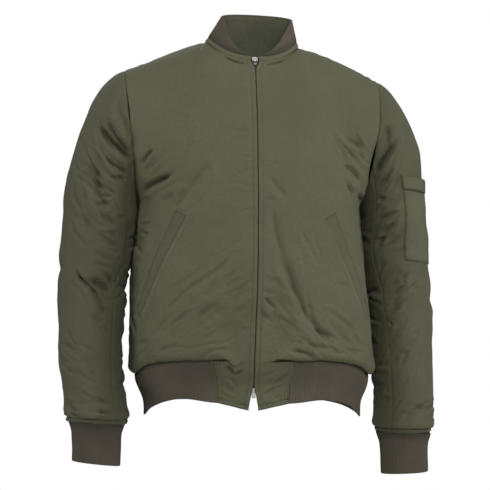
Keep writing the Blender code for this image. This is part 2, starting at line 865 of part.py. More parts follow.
def hem_rib_panel():
    """Hem rib from one tab round the back to the other."""
    columns = 2 * (2 * front_columns - tab_columns)

    def turn_at(i):
        """Turn and side at a column counted from the wearer's left tab."""
        steps = tab_columns + i
        side = 1 if steps <= 2 * front_columns else -1
        return 0.5 * (steps if side > 0 else 4 * front_columns - steps) / front_columns, side

    def fine(i, j):
        turn, side = turn_at(i)
        below = read(hem_rows, turn, "length") * j / hem_rib_steps
        return pose_torso(on_side(side, hem_band(turn, below)))

    grid = [[fine(i, j) for i in range(columns + 1)] for j in range(hem_rib_steps + 1)]
    return Panel("hem_rib", grid, rib_wall, flip=True, halves=hem_halves, fine=fine)


def cuff_panel(side):
    count = 2 * upper_steps
    name = "cuff_left" if side > 0 else "cuff_right"

    def fine(i, j):
        point = cuff_point(2 * pi * (i % count) / count, cuff_length * j / cuff_steps)
        return pose_sleeve(on_side(side, point))

    grid = [[fine(i, j) for i in range(count)] for j in range(cuff_steps + 1)]
    return Panel(name, grid, rib_wall, ring=True, flip=side > 0, halves=cuff_halves, fine=fine)


def collar_point(turn, rise):
    """Point above the neck seam, leaning in towards the neck."""
    base = neck(turn)
    lean = radians(read(collar_rows, turn, "lean"))
    inward = Vector((-base.x, -base.y, 0.0)).normalized()
    return base + (inward * sin(lean) + Vector((0, 0, 1)) * cos(lean)) * rise


def neck_place(i):
    """Turn and side of a neck column counted from the wearer's left end of the collar."""
    half = 2 * neck_columns
    side = 1 if i <= half else -1
    steps = i if side > 0 else 2 * half - i
    if steps <= neck_columns:
        return neck_shoulder_turn * steps / neck_columns, side
    return neck_shoulder_turn + (1 - neck_shoulder_turn) * (steps - neck_columns) / neck_columns, side


def neck_grid(low, high, steps, at_ends):
    """Grid round the neck between two rises, each a function of the turn."""
    grid = []
    for row in range(steps + 1):
        line = []
        for i in range(4 * neck_columns + 1):
            turn, side = neck_place(i)
            point = collar_point(turn, low(turn) + (high(turn) - low(turn)) * row / steps)
            point.x = max(point.x, at_ends)
            line.append(pose_torso(on_side(side, point)))
        grid.append(line)
    return grid


def collar_rise(turn):
    return band_height + read(collar_rows, turn, "height")


def band_panel():
    grid = neck_grid(lambda turn: 0.0, lambda turn: band_height, 1, slider_gap)
    return Panel("neck_band", grid, band_wall)


def collar_panel():
    def fine(i, j):
        turn, side = neck_place(i)
        point = collar_point(turn, band_height + (collar_rise(turn) - band_height) * j / collar_steps)
        point.x = max(point.x, slider_gap)
        return pose_torso(on_side(side, point))

    grid = neck_grid(lambda turn: band_height, collar_rise, collar_steps, slider_gap)
    return Panel("collar_rib", grid, rib_wall, halves=collar_halves, fine=fine)


def facing_wall_mesh(band, collar):
    """Cloth facing inside the collar, laid on the inner points of the band and the collar."""
    stations = [(band, 0, 0.25), (band, 1, 0.0)] + [(collar, row, 0.0) for row in range(1, collar_steps)]
    outer, inner = [], []
    for panel, row, share in stations + [(collar, collar_steps, 0.0)]:
        outer_line, inner_line = [], []
        for i in range(len(band.outer[0])):
            normal = collar.normals[min(row, 1)][i] if panel is band else collar.normals[row][i]
            if panel is band:
                point = band.outer[0][i].lerp(band.outer[1][i], share if row == 0 else 1.0)
            else:
                point = collar.outer[row][i].copy()
                if row == collar_steps:
                    down = collar.outer[row - 1][i] - point
                    point += down * min(facing_below_top / down.length, 0.3)
            depth = rib_wall + seam_gap
            outer_line.append(point - normal * depth)
            inner_line.append(point - normal * (depth + facing_wall))
        outer.append(outer_line)
        inner.append(inner_line)
    return wall_mesh(outer, inner)


def cloth_panels():
    seam = round(armhole_seam_angle / 180 * upper_steps)
    around = 2 * upper_steps
    panels = [
        Panel("front_left", front_grid(1, front_left_folds), shell_wall),
        Panel("front_right", front_grid(-1, front_right_folds), shell_wall, flip=True),
        Panel("back", back_grid(back_folds), shell_wall, flip=True),
        Panel("hem_tab_left", tab_grid(1), shell_wall, flip=True),
        Panel("hem_tab_right", tab_grid(-1), shell_wall),
        hem_rib_panel(),
    ]
    for side, word in ((1, "left"), (-1, "right")):
        panels += [
            Panel("sleeve_top_" + word, sleeve_grid(side, seam, around - seam, arm_folds), shell_wall,
                  flip=side > 0),
            Panel("sleeve_under_" + word, sleeve_grid(side, -seam, seam, []), shell_wall, flip=side > 0),
            cuff_panel(side),
        ]
    return panels


# Pieces laid on the panels

def sampled(grid, column, row):
    """Point at a fractional column and row of a grid, on the triangles that the panel is made of."""
    i = min(max(int(column), 0), len(grid[0]) - 2)
    j = min(max(int(row), 0), len(grid) - 2)
    u, v = column - i, row - j
    start, far = grid[j][i], grid[j + 1][i + 1]
    corner = grid[j][i + 1] if u > v else grid[j + 1][i]
    near_share, far_share = (u - v, v) if u > v else (v - u, u)
    return start + (corner - start) * near_share + (far - start) * far_share


def row_at(panel, column, height):
    """Fractional row at which a column of a panel reaches a height."""
    rows = len(panel.outer)
    heights = [sampled(panel.outer, column, j).z for j in range(rows)]
    for j in range(rows - 1):
        low, high = heights[j], heights[j + 1]
        if min(low, high) <= height <= max(low, high):
            return j + (height - low) / (high - low)
    return 0.0 if abs(height - heights[0]) < abs(height - heights[-1]) else rows - 1.0


def laid_mesh(panel, place_at, steps, columns, wall):
    """Patch made from a panel's own outer points, moved out: place_at gives columns and rows."""
    outer, inner = [], []
    for j in range(steps + 1):
        places = [place_at(i / columns, j / steps) for i in range(columns + 1)]
        normals = [sampled(panel.normals, *spot).normalized() for spot in places]
        points = [sampled(panel.outer, *spot) for spot in places]
        outer.append([point + normal * (patch_gap + wall) for point, normal in zip(points, normals)])
        inner.append([point + normal * patch_gap for point, normal in zip(points, normals)])
    return wall_mesh(outer, inner)


def make_welt(panel, side):
    """Slanted pocket welt, laid on the front."""
    def place_at(u, v):
        column = (read(welt_rows, v, "front") + welt_turn * u) * 2 * front_columns
        return column, row_at(panel, column, read(welt_rows, v, "height") + welt_rise * u)

    bm = laid_mesh(panel, place_at, welt_steps, welt_columns, patch_wall)
    return place("pocket_welt_left" if side > 0 else "pocket_welt_right", bm, shell_cloth())


def make_sleeve_pocket(panel):
    """Patch pocket on the outside of the wearer's left sleeve, with a flap along its top."""
    start = armhole_seam_angle / 180 * upper_steps
    first, last = pocket_columns

    def between(top, foot):
        def place_at(u, v):
            column = first + (last - first) * u - start
            return column, row_at(panel, column, top + (foot - top) * v + pocket_slope * u)
        return place_at

    patch = laid_mesh(panel, between(pocket_flap - seam_gap, pocket_foot), pocket_steps, last - first,
                      patch_wall)
    flap = laid_mesh(panel, between(pocket_top, pocket_flap + seam_gap), 3, last - first, patch_wall * 1.6)
    place("sleeve_pocket", patch, shell_cloth())
    place("sleeve_pocket_flap", flap, shell_cloth())


# Zip

def centre_x(point):
    """Where the posed centre front lies at a point's height."""
    return pose_torso(Vector((0.0, point.y, point.z))).x


def behind_edge(panel, row, distance):
    """Point behind a front's inner side, at a distance out from the centre line, and its normal."""
    edge = sampled(panel.inner, 0, row)
    start = abs(sampled(panel.outer, 0, row).x - centre_x(edge))
    column = (distance - start) / (sampled(panel.inner, 1, row) - edge).length
    point = sampled(panel.inner, column, row)
    if column < 0:
        point = edge + (sampled(panel.inner, 1, row) - edge) * column
    normal = sampled(panel.normals, 0, row).normalized()
    return point - normal * zip_gap, normal


def zip_stations(front, tab, top):
    """Panels and rows that the zip runs along, from its foot up to a height."""
    foot_row = row_at(tab, 0, zip_foot)
    stations = [(tab, foot_row)] + [(tab, float(row)) for row in range(int(foot_row), 0, -1)]
    last = row_at(front, 0, top)
    stations += [(front, float(row)) for row in range(int(last) + 1)]
    if last - int(last) > 0.05:
        stations.append((front, last))
    return stations


def make_tape(front, tab, side):
    outer, inner = [], []
    for panel, row in zip_stations(front, tab, front.outer[-1][0].z):
        beside = faded(sampled(panel.outer, 0, row).z, (slider_notch[0] - 0.01, slider_notch[0] + 0.005))
        near = tape_inner + (tape_inner_at_slider - tape_inner) * beside
        line = [behind_edge(panel, row, distance) for distance in (near, tape_outer)]
        outer.append([point for point, normal in line])
        inner.append([point - normal * tape_wall for point, normal in line])
    return place("zip_tape_left" if side > 0 else "zip_tape_right", wall_mesh(outer, inner), tape_cloth())


def make_chain(fronts, tabs):
    """Closed teeth, between the two tapes and behind the front edges."""
    sides = [zip_stations(front, tab, chain_top) for front, tab in zip(fronts, tabs)]
    outer, inner = [], []
    for (left, left_row), (right, right_row) in zip(*sides):
        line = [behind_edge(right, right_row, chain_half), behind_edge(left, left_row, chain_half)]
        outer.append([point for point, normal in line])
        inner.append([point - normal * chain_wall for point, normal in line])
    return place("zip_chain", wall_mesh(outer, inner), dark_metal())


def outline_solid(outline, hole, low, high, along="y"):
    """Plate between two depths along an axis, from an outline and a hole in the other two axes."""
    bm = bmesh.new()

    def point(a, b, depth):
        return (a, depth, b) if along == "y" else (depth, a, b)

    loops = [outline] + ([rectangle(*hole)] if hole else [])
    sides = [[[bm.verts.new(point(a, b, depth)) for a, b in loop] for loop in loops] for depth in (low, high)]
    for side in sides:
        edges = [bm.edges.new((ring[i - 1], ring[i])) for ring in side for i in range(len(ring))]
        bmesh.ops.triangle_fill(bm, edges=edges, use_beauty=True)
    for near, far in zip(*sides):
        for i in range(len(near)):
            square(bm, near[i - 1], near[i], far[i], far[i - 1])
    bmesh.ops.recalc_face_normals(bm, faces=bm.faces)
    return bm


def rectangle(left, right, low, high):
    return [(left, low), (right, low), (right, high), (left, high)]


def make_zip_box(tab):
    """Pin and box that close the foot of the zip, seen in the notch between the tabs."""
    outline = [(-box_half, box_foot), (box_half, box_foot), (box_half, box_top), (pin_half, box_top),
               (pin_half, zip_foot - seam_gap), (-pin_half, zip_foot - seam_gap), (-pin_half, box_top),
               (-box_half, box_top)]
    inner = tab.inner[-1][0].y + seam_gap
    bm = outline_solid(outline, None, inner, inner + box_wall)
    for vert in bm.verts:
        vert.co = pose_torso(Vector((vert.co.x, vert.co.y, vert.co.z)))
    lowest = min(vert.co.y for vert in bm.verts)
    for vert in bm.verts:
        vert.co.y += inner - lowest
    return place("zip_box", bm, bright_metal(), 30.0)


def slider_frame(front):
    """Matrix of the slider: on the centre line, with y into the cloth and z up along the zip."""
    at = row_at(front, 0, slider_height)
    edge = sampled(front.outer, 0, at)
    below = sampled(front.outer, 0, at - 0.6)
    up = (edge - below).normalized()
    up.x = 0.0
    up.normalize()
    across = Vector((1, 0, 0))
    frame = Matrix((across, up.cross(across), up)).transposed().to_4x4()
    frame.translation = Vector((centre_x(edge), edge.y, edge.z))
    return frame


def empty(name, matrix):
    made = bpy.data.objects.new(name, None)
    made.empty_display_size = 0.01
    made.matrix_world = matrix
    bpy.context.scene.collection.objects.link(made)
    return made


def hang(made, parent):
    """Parents an object built in its parent's own frame."""
    made.parent = parent
    made.matrix_parent_inverse = Matrix.Identity(4)


def make_slider(top):
    """Slider body, tapered to its foot, with an arched bridge on its face."""
    foot, crown = slider_length
    near, deep = slider_depth
    low, high = bridge_length
    chamfer = bridge_bar * 0.8
    body = outline_solid([(-slider_foot_half, foot), (slider_foot_half, foot), (slider_half, 0.0),
                          (slider_half, crown - chamfer), (slider_half - chamfer, crown),
                          (chamfer - slider_half, crown), (-slider_half, crown - chamfer),
                          (-slider_half, 0.0)], None, near, deep)
    arch = outline_solid([(near + bridge_bar, low), (bridge_out + chamfer, low),
                          (bridge_out, low + chamfer), (bridge_out, high - chamfer),
                          (bridge_out + chamfer, high), (near + bridge_bar, high)],
                         (bridge_out + bridge_bar, near, low + bridge_bar, high - bridge_bar),
                         -bridge_half, bridge_half, along="x")
    made = place("zip_slider", body, bright_metal(), 30.0)
    bridge = place("slider_bridge", arch, bright_metal(), 30.0)
    union = made.modifiers.new("bridge", "BOOLEAN")
    union.operation = "UNION"
    union.solver = "EXACT"
    union.object = bridge
    bpy.context.view_layer.update()
    joined = bpy.data.meshes.new_from_object(made.evaluated_get(bpy.context.evaluated_depsgraph_get()))
    made.modifiers.clear()
    made.data = joined
    bpy.data.objects.remove(bridge)
    hang(made, top)


def make_pull(top):
    """Pull tab, hung by its top bar in the bridge and swinging about it."""
    hinge = empty("pull_hinge", top.matrix_world @ Matrix.Translation(pull_pivot))
    half_bar = pull_wall / 2
    foot = half_bar - pull_length
    outline = [(-pull_half, foot + pull_chamfer), (pull_chamfer - pull_half, foot),
               (pull_half - pull_chamfer, foot), (pull_half, foot + pull_chamfer), (pull_half, half_bar),
               (-pull_half, half_bar)]
    slot = (pull_rail - pull_half, pull_half - pull_rail, -half_bar - pull_slot, -half_bar)
    bm = outline_solid(outline, slot, -half_bar, half_bar)
    hang(place("zip_pull", bm, dark_metal(), 30.0), hinge)


def main():
    for item in list(bpy.data.objects):
        bpy.data.objects.remove(item)
    panels = cloth_panels()
    band, collar = band_panel(), collar_panel()
    panels += [band, collar]
    sew(panels)
    for panel in panels:
        if panel.halves:
            place(panel.name, ribbed_mesh(panel), rib_cloth())
        else:
            place(panel.name, wall_mesh(panel.outer, panel.inner, panel.ring), shell_cloth())
    place("collar_facing", facing_wall_mesh(band, collar), facing_cloth())
    named = {panel.name: panel for panel in panels}
    fronts = [named["front_left"], named["front_right"]]
    tabs = [named["hem_tab_left"], named["hem_tab_right"]]
    for front, tab, side in zip(fronts, tabs, (1, -1)):
        make_welt(front, side)
        make_tape(front, tab, side)
    make_chain(fronts, tabs)
    make_zip_box(tabs[0])
    make_sleeve_pocket(named["sleeve_top_left"])
    top = empty("zip_top", slider_frame(fronts[0]))
    make_slider(top)
    make_pull(top)


main()
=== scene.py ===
from math import cos, pi, radians, sin
import bmesh
import bpy
import numpy as np
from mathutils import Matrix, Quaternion, Vector


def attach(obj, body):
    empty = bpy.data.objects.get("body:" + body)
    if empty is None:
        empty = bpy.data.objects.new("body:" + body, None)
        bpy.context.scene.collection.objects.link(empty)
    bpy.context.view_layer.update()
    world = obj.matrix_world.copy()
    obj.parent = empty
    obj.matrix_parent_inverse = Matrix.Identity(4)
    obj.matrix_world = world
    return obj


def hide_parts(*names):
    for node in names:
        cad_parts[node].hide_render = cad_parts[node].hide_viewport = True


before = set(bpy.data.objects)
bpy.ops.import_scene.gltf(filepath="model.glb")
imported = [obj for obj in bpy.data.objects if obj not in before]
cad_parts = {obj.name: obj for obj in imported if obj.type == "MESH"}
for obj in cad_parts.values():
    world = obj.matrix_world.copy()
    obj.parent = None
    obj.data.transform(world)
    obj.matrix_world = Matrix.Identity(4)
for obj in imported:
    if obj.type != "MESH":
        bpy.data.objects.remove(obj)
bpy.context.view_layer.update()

print("frame loaded,", len(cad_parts), "nodes")

# ---- shapes shared by the pieces, metres, front towards -Y

torso = {
    "rows": [  # height, half width, depth before the side seam, depth behind it
        (-0.530, 0.197, 0.119, 0.110), (-0.490, 0.197, 0.123, 0.111), (-0.440, 0.199, 0.127, 0.110),
        (-0.390, 0.199, 0.129, 0.109), (-0.340, 0.1975, 0.129, 0.110), (-0.290, 0.1915, 0.128, 0.114),
        (-0.240, 0.1875, 0.126, 0.119), (-0.190, 0.188, 0.123, 0.123),
    ],
    "squareness": 0.86, "hem": -0.530,
    "overhang": [  # height above the hem seam, how far the shell stands out over the rib
        (0.000, 0.0010), (0.006, 0.0085), (0.018, 0.0120), (0.050, 0.0095), (0.110, 0.0035), (0.180, 0.0000),
    ],
    "overhangTurn": (0.035, 0.12),
    "hemLine": [  # turn, lift of the hem seam, length of the band below it
        (0.00, 0.020, 0.068), (0.10, 0.022, 0.069), (0.20, 0.021, 0.063), (0.32, 0.013, 0.063),
        (0.46, -0.010, 0.062), (0.60, -0.006, 0.062), (0.90, 0.016, 0.066), (1.00, 0.016, 0.066),
    ],
    "liftReach": 0.20,
    "bandIn": [  # distance below the hem seam, how far the band draws in
        (0.000, 0.0000), (0.014, 0.0040), (0.036, 0.0140), (0.068, 0.0145),
    ],
}
armholeShape = {
    "tip": (0.216, 0.004, -0.028), "foot": -0.238,
    "front": 0.064, "back": 0.068,      # reach ahead of the tip and behind it
    "point": 0.22, "run": 0.028,        # how pointed the ends are, how far the foot lies further in
    "dip": 0.030,                       # how far the panels' lower part sinks towards it
}
neckShape = {
    "halfWidth": 0.080, "front": 0.062, "back": 0.062,
    "heights": (-0.008, 0.027, 0.033),  # at the front, the side and the back
    "shoulderTurn": 0.53, "crown": 0.0060,  # where the shoulder seam starts, how far it arches
}
sleeveShape = {
    "rows": [  # height, middle x, middle y, half width, half depth, angle of the seams
        (-0.622, 0.2605, -0.020, 0.0480, 0.0450, 55.0), (-0.614, 0.2615, -0.019, 0.0525, 0.0530, 55.0),
        (-0.600, 0.2630, -0.016, 0.0530, 0.0560, 55.0), (-0.560, 0.2662, -0.008, 0.0515, 0.0585, 55.0),
        (-0.500, 0.2685, 0.006, 0.0525, 0.0625, 54.0), (-0.440, 0.2668, 0.017, 0.0550, 0.0660, 52.0),
        (-0.380, 0.2630, 0.020, 0.0580, 0.0690, 48.0), (-0.320, 0.2570, 0.014, 0.0605, 0.0725, 38.0),
        (-0.265, 0.2527, 0.006, 0.0605, 0.0750, 45.0),
    ],
    "bicep": -0.265, "hem": -0.622, "seamAngle": 60.0,
}
cuffShape = {
    "rows": [  # distance below the sleeve hem, how far the cuff draws in, how far it leans forward
        (0.000, 0.0000, 0.000), (0.018, 0.0062, 0.003), (0.067, 0.0078, 0.011),
    ],
    "length": 0.067, "slant": 0.003, "flatten": 0.80,
}
collarShape = {
    "rows": [  # turn, height above the neck band, inward lean in degrees
        (0.00, 0.0025, 12.0), (0.05, 0.0040, 12.0), (0.12, 0.0100, 16.0), (0.20, 0.0200, 20.0),
        (0.30, 0.0310, 25.0), (0.40, 0.0385, 25.5), (0.53, 0.0435, 22.0), (0.75, 0.0465, 13.0),
        (1.00, 0.0470, 8.0),
    ],
    "band": 0.008,
}
pose = {
    "tilt": 0.022, "tiltFade": (-0.500, -0.260),
    "hipSway": 0.009, "hipTurn": radians(-6.0), "hipFade": (-0.600, -0.320),
    "cuffSwing": 0.006, "cuffTilt": 0.008, "swingFade": (-0.640, -0.480),
    "neckSway": 0.0065, "neckFade": (-0.010, 0.085),
    "collarSway": 0.006, "collarFade": (0.030, 0.090),
    "leftLift": (0.0035, 0.0, 0.0005), "rightLift": (0.0015, 0.0, 0.0020),
    "liftFade": (0.150, 0.225), "liftHeight": (-0.220, -0.080),
    "armTrim": [  # height, shift of the right arm's inner side, of its outer side, of the left arm's outer side
        (-0.640, 0.0000, 0.0000, 0.0000), (-0.600, 0.0004, 0.0000, -0.0008),
        (-0.540, 0.0030, 0.0004, -0.0006), (-0.480, 0.0044, 0.0010, 0.0000), (-0.420, 0.0025, 0.0010, 0.0010),
        (-0.378, -0.0004, 0.0010, 0.0006), (-0.345, 0.0026, 0.0008, -0.0024),
        (-0.300, 0.0016, 0.0002, -0.0044), (-0.250, 0.0010, -0.0006, -0.0055),
        (-0.200, -0.0012, -0.0010, -0.0045), (-0.130, 0.0000, -0.0010, -0.0016),
        (-0.060, 0.0000, 0.0000, -0.0010),
    ],
    "armInner": (0.300, 0.230), "armOuter": (0.260, 0.315),
}
panelRise = {  # directions and reach of the curves from the armhole's level up to the top edge
    "body": (0.27, 0.05),               # leaving the body, and more halfway across
    "neck": (0.0, 0.45, 0.89), "neckReach": (0.20, 0.12),  # front, back
    "corner": (-0.20, 0.90, 0.25), "cornerReach": 0.27,
    "shoulder": (0.0, 0.93, 0.37), "shoulderReach": 0.29,
    "armhole": 0.07, "armholeFrom": 0.55,
}
capBulge = (0.030, 0.170, 0.190)        # reach at the foot, more at the tip: leaving the armhole, reaching the arm
lowerRows, upperRows, capRows, armRows = 10, 12, 7, 12  # rows of a panel and of a sleeve
neckShare = 5 / 11                      # share of a panel's top edge that is neck
tabTurn = 1 / 11                        # where a hem tab ends
sides = ((1, "left"), (-1, "right"))  # the wearer's


def smooth(x):
    x = np.clip(x, 0.0, 1.0)
    return x * x * (3.0 - 2.0 * x)


def fade(x, limits):
    return smooth((x - limits[0]) / (limits[1] - limits[0]))


def bell(x, width):
    return np.exp(-(x / width) ** 2)


def matched(a, b):
    return np.broadcast_arrays(np.asarray(a, float), np.asarray(b, float))


def hermite(start, end, startSlope, endSlope, t):
    t2, t3 = t * t, t * t * t
    return (start * (2 * t3 - 3 * t2 + 1) + startSlope * (t3 - 2 * t2 + t)
            + end * (3 * t2 - 2 * t3) + endSlope * (t3 - t2))


def read(rows, column, at):  # one column of a table, on a smooth curve through its rows
    rows = np.array(rows)
    x, y = rows[:, 0], rows[:, column]
    slope = np.empty(len(x))
    slope[1:-1] = (y[2:] - y[:-2]) / (x[2:] - x[:-2])
    slope[0], slope[-1] = (y[1] - y[0]) / (x[1] - x[0]), (y[-1] - y[-2]) / (x[-1] - x[-2])
    at = np.clip(at, x[0], x[-1])
    k = np.clip(np.searchsorted(x, at, side="right") - 1, 0, len(x) - 2)
    span = x[k + 1] - x[k]
    return hermite(y[k], y[k + 1], slope[k] * span, slope[k + 1] * span, (at - x[k]) / span)


def point(x, y, z):
    return np.stack(np.broadcast_arrays(x, y, z), axis=-1)


def unit(v):
    return v / np.maximum(np.linalg.norm(v, axis=-1, keepdims=True), 1e-12)


def sectionPoint(turn, height):  # turn is 0 at the centre front, 0.5 at the side seam, 1 at the centre back
    turn, height = matched(turn, height)
    power = torso["squareness"]
    across = np.maximum(np.sin(pi * turn), 0.0) ** power
    along = np.abs(np.cos(pi * turn)) ** power
    along = np.where(np.abs(turn - 0.5) < 1e-9, 0.0, along)
    width = read(torso["rows"], 1, height)
    front = turn < 0.5
    depth = np.where(front, read(torso["rows"], 2, height), read(torso["rows"], 3, height))
    x, y = width * across, np.where(front, -1.0, 1.0) * depth * along
    out = unit(point(x / width ** 2, y / depth ** 2, 0.0 * x))
    stand = read(torso["overhang"], 1, height - torso["hem"]) * fade(turn, torso["overhangTurn"])
    lift = read(torso["hemLine"], 1, turn) * (1 - smooth((height - torso["hem"]) / torso["liftReach"]))
    return point(x, y, height + lift) + out * stand[..., None]


def bandPoint(turn, below):  # the band below the hem seam
    turn, below = matched(turn, below)
    seam = sectionPoint(turn, torso["hem"])
    inward = unit(seam * (-1, -1, 0))
    return seam + inward * read(torso["bandIn"], 1, below)[..., None] + point(0, 0, -below)


def armholePoint(angle):
    angle = np.mod(angle, 2 * pi)
    tip = armholeShape["tip"]
    reach = np.where(np.sin(angle) > 0, armholeShape["front"], armholeShape["back"])
    folded = np.where(angle <= pi, angle, 2 * pi - angle)
    share = armholeShape["point"]
    level = (1 - share) * np.cos(folded) + share * (1 - 2 * folded / pi)
    drop = np.clip((1 + level) / 2, 0, 1)
    return point(tip[0] - armholeShape["run"] * drop ** 1.6, tip[1] * (1 - drop) - reach * np.sin(angle),
                 tip[2] + (armholeShape["foot"] - tip[2]) * drop)


def neckPoint(turn):
    turn = np.asarray(turn, float)
    across = np.clip(np.sin(pi * turn), 0, 1)
    low, side, high = neckShape["heights"]
    depth = np.where(turn < 0.5, neckShape["front"], neckShape["back"])
    height = np.where(turn < 0.5, low + (side - low) * across ** 2.6,
                      side + (high - side) * np.cos(pi * turn) ** 2)
    return point(neckShape["halfWidth"] * across, -depth * np.cos(pi * turn), height)


def topEdge(back, u):
    u = np.asarray(u, float)
    share = np.minimum(u / neckShare, 1.0)
    turn = neckShape["shoulderTurn"]
    line = neckPoint(1 - share * (1 - turn)) if back else neckPoint(share * turn)
    along = np.clip((u - neckShare) / (1 - neckShare), 0, 1)[..., None]
    seam = neckPoint(turn) * (1 - along) + np.array(armholeShape["tip"]) * along
    seam[..., 2] += neckShape["crown"] * np.sin(pi * along[..., 0] ** 0.75)
    return np.where((u <= neckShare)[..., None], line, seam)


def softTopEdge(back, u):
    reach = np.minimum(0.16, np.minimum(u, 1 - u))
    return sum(topEdge(back, u + reach * k / 3) for k in range(-3, 4)) / 7


def lowerHeight(u, v):
    top = armholeShape["foot"] - armholeShape["dip"] * smooth((1 - u) / 0.45)
    return torso["hem"] + (top - torso["hem"]) * v


def upperCurve(back, u, v):
    turn = 1 - 0.5 * u if back else 0.5 * u
    height = lowerHeight(u, 1.0)
    step = 0.004
    upward = (sectionPoint(turn, height + step) - sectionPoint(turn, height - step)) / (2 * step)
    facing, side = (-1.0, 1.0) if back else (1.0, -1.0)
    uu, rise = u[..., None], panelRise
    riseStart = upward * (rise["body"][0] + rise["body"][1] * np.sin(pi * uu))
    riseNeck = np.array(rise["neck"]) * (1, facing, 1) * rise["neckReach"][int(back)]
    riseCorner = np.array(rise["corner"]) * (1, facing, 1) * rise["cornerReach"]
    riseShoulder = np.array(rise["shoulder"]) * (1, facing, 1) * rise["shoulderReach"]
    mix = smooth(uu / neckShare)
    riseEnd = riseNeck * (1 - mix) + riseCorner * mix
    mix = smooth((uu - neckShare) / (1 - neckShare))
    riseEnd = riseEnd * (1 - mix) + riseShoulder * mix
    mix = smooth((uu - rise["armholeFrom"]) / (1 - rise["armholeFrom"]))
    armStart = np.array((0, side * pi * armholeShape["front"], rise["armhole"]))
    armEnd = armStart * (1, -1, 1)
    return hermite(sectionPoint(turn, height), softTopEdge(back, u), riseStart * (1 - mix) + armStart * mix,
                   riseEnd * (1 - mix) + armEnd * mix, v[..., None])


def panelPoint(back, u, row):
    u, row = matched(u, row)
    turn = 1 - 0.5 * u if back else 0.5 * u
    low = sectionPoint(turn, lowerHeight(u, np.clip(row / lowerRows, 0, 1) ** 1.6))
    v = np.clip((row - lowerRows) / upperRows, 0, 1)
    edge = np.ones_like(u)
    miss = armholePoint((-pi if back else pi) * v) - upperCurve(back, edge, v)
    corner = topEdge(back, u) - softTopEdge(back, u)
    high = upperCurve(back, u, v) + miss * u[..., None] ** 3 + corner * v[..., None] ** 5
    return np.where((row <= lowerRows)[..., None], low, high)


def sleeveRing(angle, height):
    rows = sleeveShape["rows"]
    return point(read(rows, 1, height) - read(rows, 3, height) * np.cos(angle),
                 read(rows, 2, height) - read(rows, 4, height) * np.sin(angle), height)


def seamTurned(angle, seam):
    start, seam = radians(sleeveShape["seamAngle"]), np.radians(seam)
    folded = np.where(angle <= pi, angle, 2 * pi - angle)
    moved = np.where(folded < start, folded * seam / start, seam + (folded - start) * (pi - seam) / (pi - start))
    return np.where(angle <= pi, moved, 2 * pi - moved)


def sleevePoint(angle, row):
    angle, row = matched(np.mod(angle, 2 * pi), row)
    bicep, rows = sleeveShape["bicep"], sleeveShape["rows"]
    v = np.clip(row / capRows, 0, 1)[..., None]
    high = ((1 - np.cos(angle)) / 2)[..., None]
    leave = unit(point(0.20 + 0.74 * high[..., 0], -0.30 * np.sin(angle), -1.0 + 0.64 * high[..., 0]))
    arrive = np.array((0.02, 0.0, -1.0))
    end = sleeveRing(seamTurned(angle, read(rows, 5, bicep)), bicep)
    foot, leaving, arriving = capBulge
    cap = hermite(armholePoint(angle), end, leave * (foot + leaving * high), arrive * (foot + arriving * high), v)
    share = np.clip((row - capRows) / armRows, 0, 1)
    height = bicep + (sleeveShape["hem"] - bicep) * (1 - (1 - share) ** 1.25)
    arm = sleeveRing(seamTurned(angle, read(rows, 5, height)), height)
    return np.where((row <= capRows)[..., None], cap, arm)


def cuffPoint(angle, below):
    angle, below = matched(angle, below)
    seam = sleevePoint(angle, capRows + armRows)
    middle = np.array((sleeveShape["rows"][0][1], sleeveShape["rows"][0][2], sleeveShape["hem"]))
    share = below / cuffShape["length"]
    reach = seam - middle
    size = np.linalg.norm(reach, axis=-1)
    reach = reach * (1 - read(cuffShape["rows"], 1, below) / size)[..., None]
    reach[..., 1] *= 1 - (1 - cuffShape["flatten"]) * smooth(share * 1.6)
    return middle + reach + point(0, -read(cuffShape["rows"], 2, below),
                                  -below - cuffShape["slant"] * share * np.cos(angle))


def collarPoint(turn, rise):
    base = neckPoint(turn)
    lean = np.radians(read(collarShape["rows"], 2, turn))[..., None]
    inward = unit(base * (-1, -1, 0))
    return base + (inward * np.sin(lean) + np.array((0, 0, 1)) * np.cos(lean)) * np.asarray(rise)[..., None]


def shoulderLift(p):
    both = fade(np.abs(p[..., 0]), pose["liftFade"]) * fade(p[..., 2], pose["liftHeight"])
    left = (p[..., 0] > 0)[..., None]
    return np.where(left, pose["leftLift"], pose["rightLift"]) * both[..., None]


def poseTorso(p):
    tilt = pose["tilt"] * fade(p[..., 2], pose["tiltFade"])
    hips = 1 - fade(p[..., 2], pose["hipFade"])
    sway = (pose["hipSway"] * hips + pose["neckSway"] * fade(p[..., 2], pose["neckFade"])
            + pose["collarSway"] * fade(p[..., 2], pose["collarFade"]))
    turn = pose["hipTurn"] * hips
    x = p[..., 0] * np.cos(turn) - p[..., 1] * np.sin(turn)
    y = p[..., 0] * np.sin(turn) + p[..., 1] * np.cos(turn)
    return point(x + sway, y, p[..., 2] - tilt * p[..., 0]) + shoulderLift(p)


def poseSleeve(p):
    cuffs = 1 - fade(p[..., 2], pose["swingFade"])
    inner, outer, leftOuter = (read(pose["armTrim"], k, p[..., 2]) for k in (1, 2, 3))
    away = np.abs(p[..., 0])
    trim = np.where(p[..., 0] < 0, inner * fade(away, pose["armInner"]) + outer * fade(away, pose["armOuter"]),
                    leftOuter * fade(away, pose["armOuter"]))
    tilt = pose["tilt"] + pose["cuffTilt"] * cuffs
    return p + shoulderLift(p) + point(pose["cuffSwing"] * cuffs + trim, 0, -tilt * p[..., 0])


def onSide(side, p):
    return p * (side, 1, 1)


# ---- grids to cloth

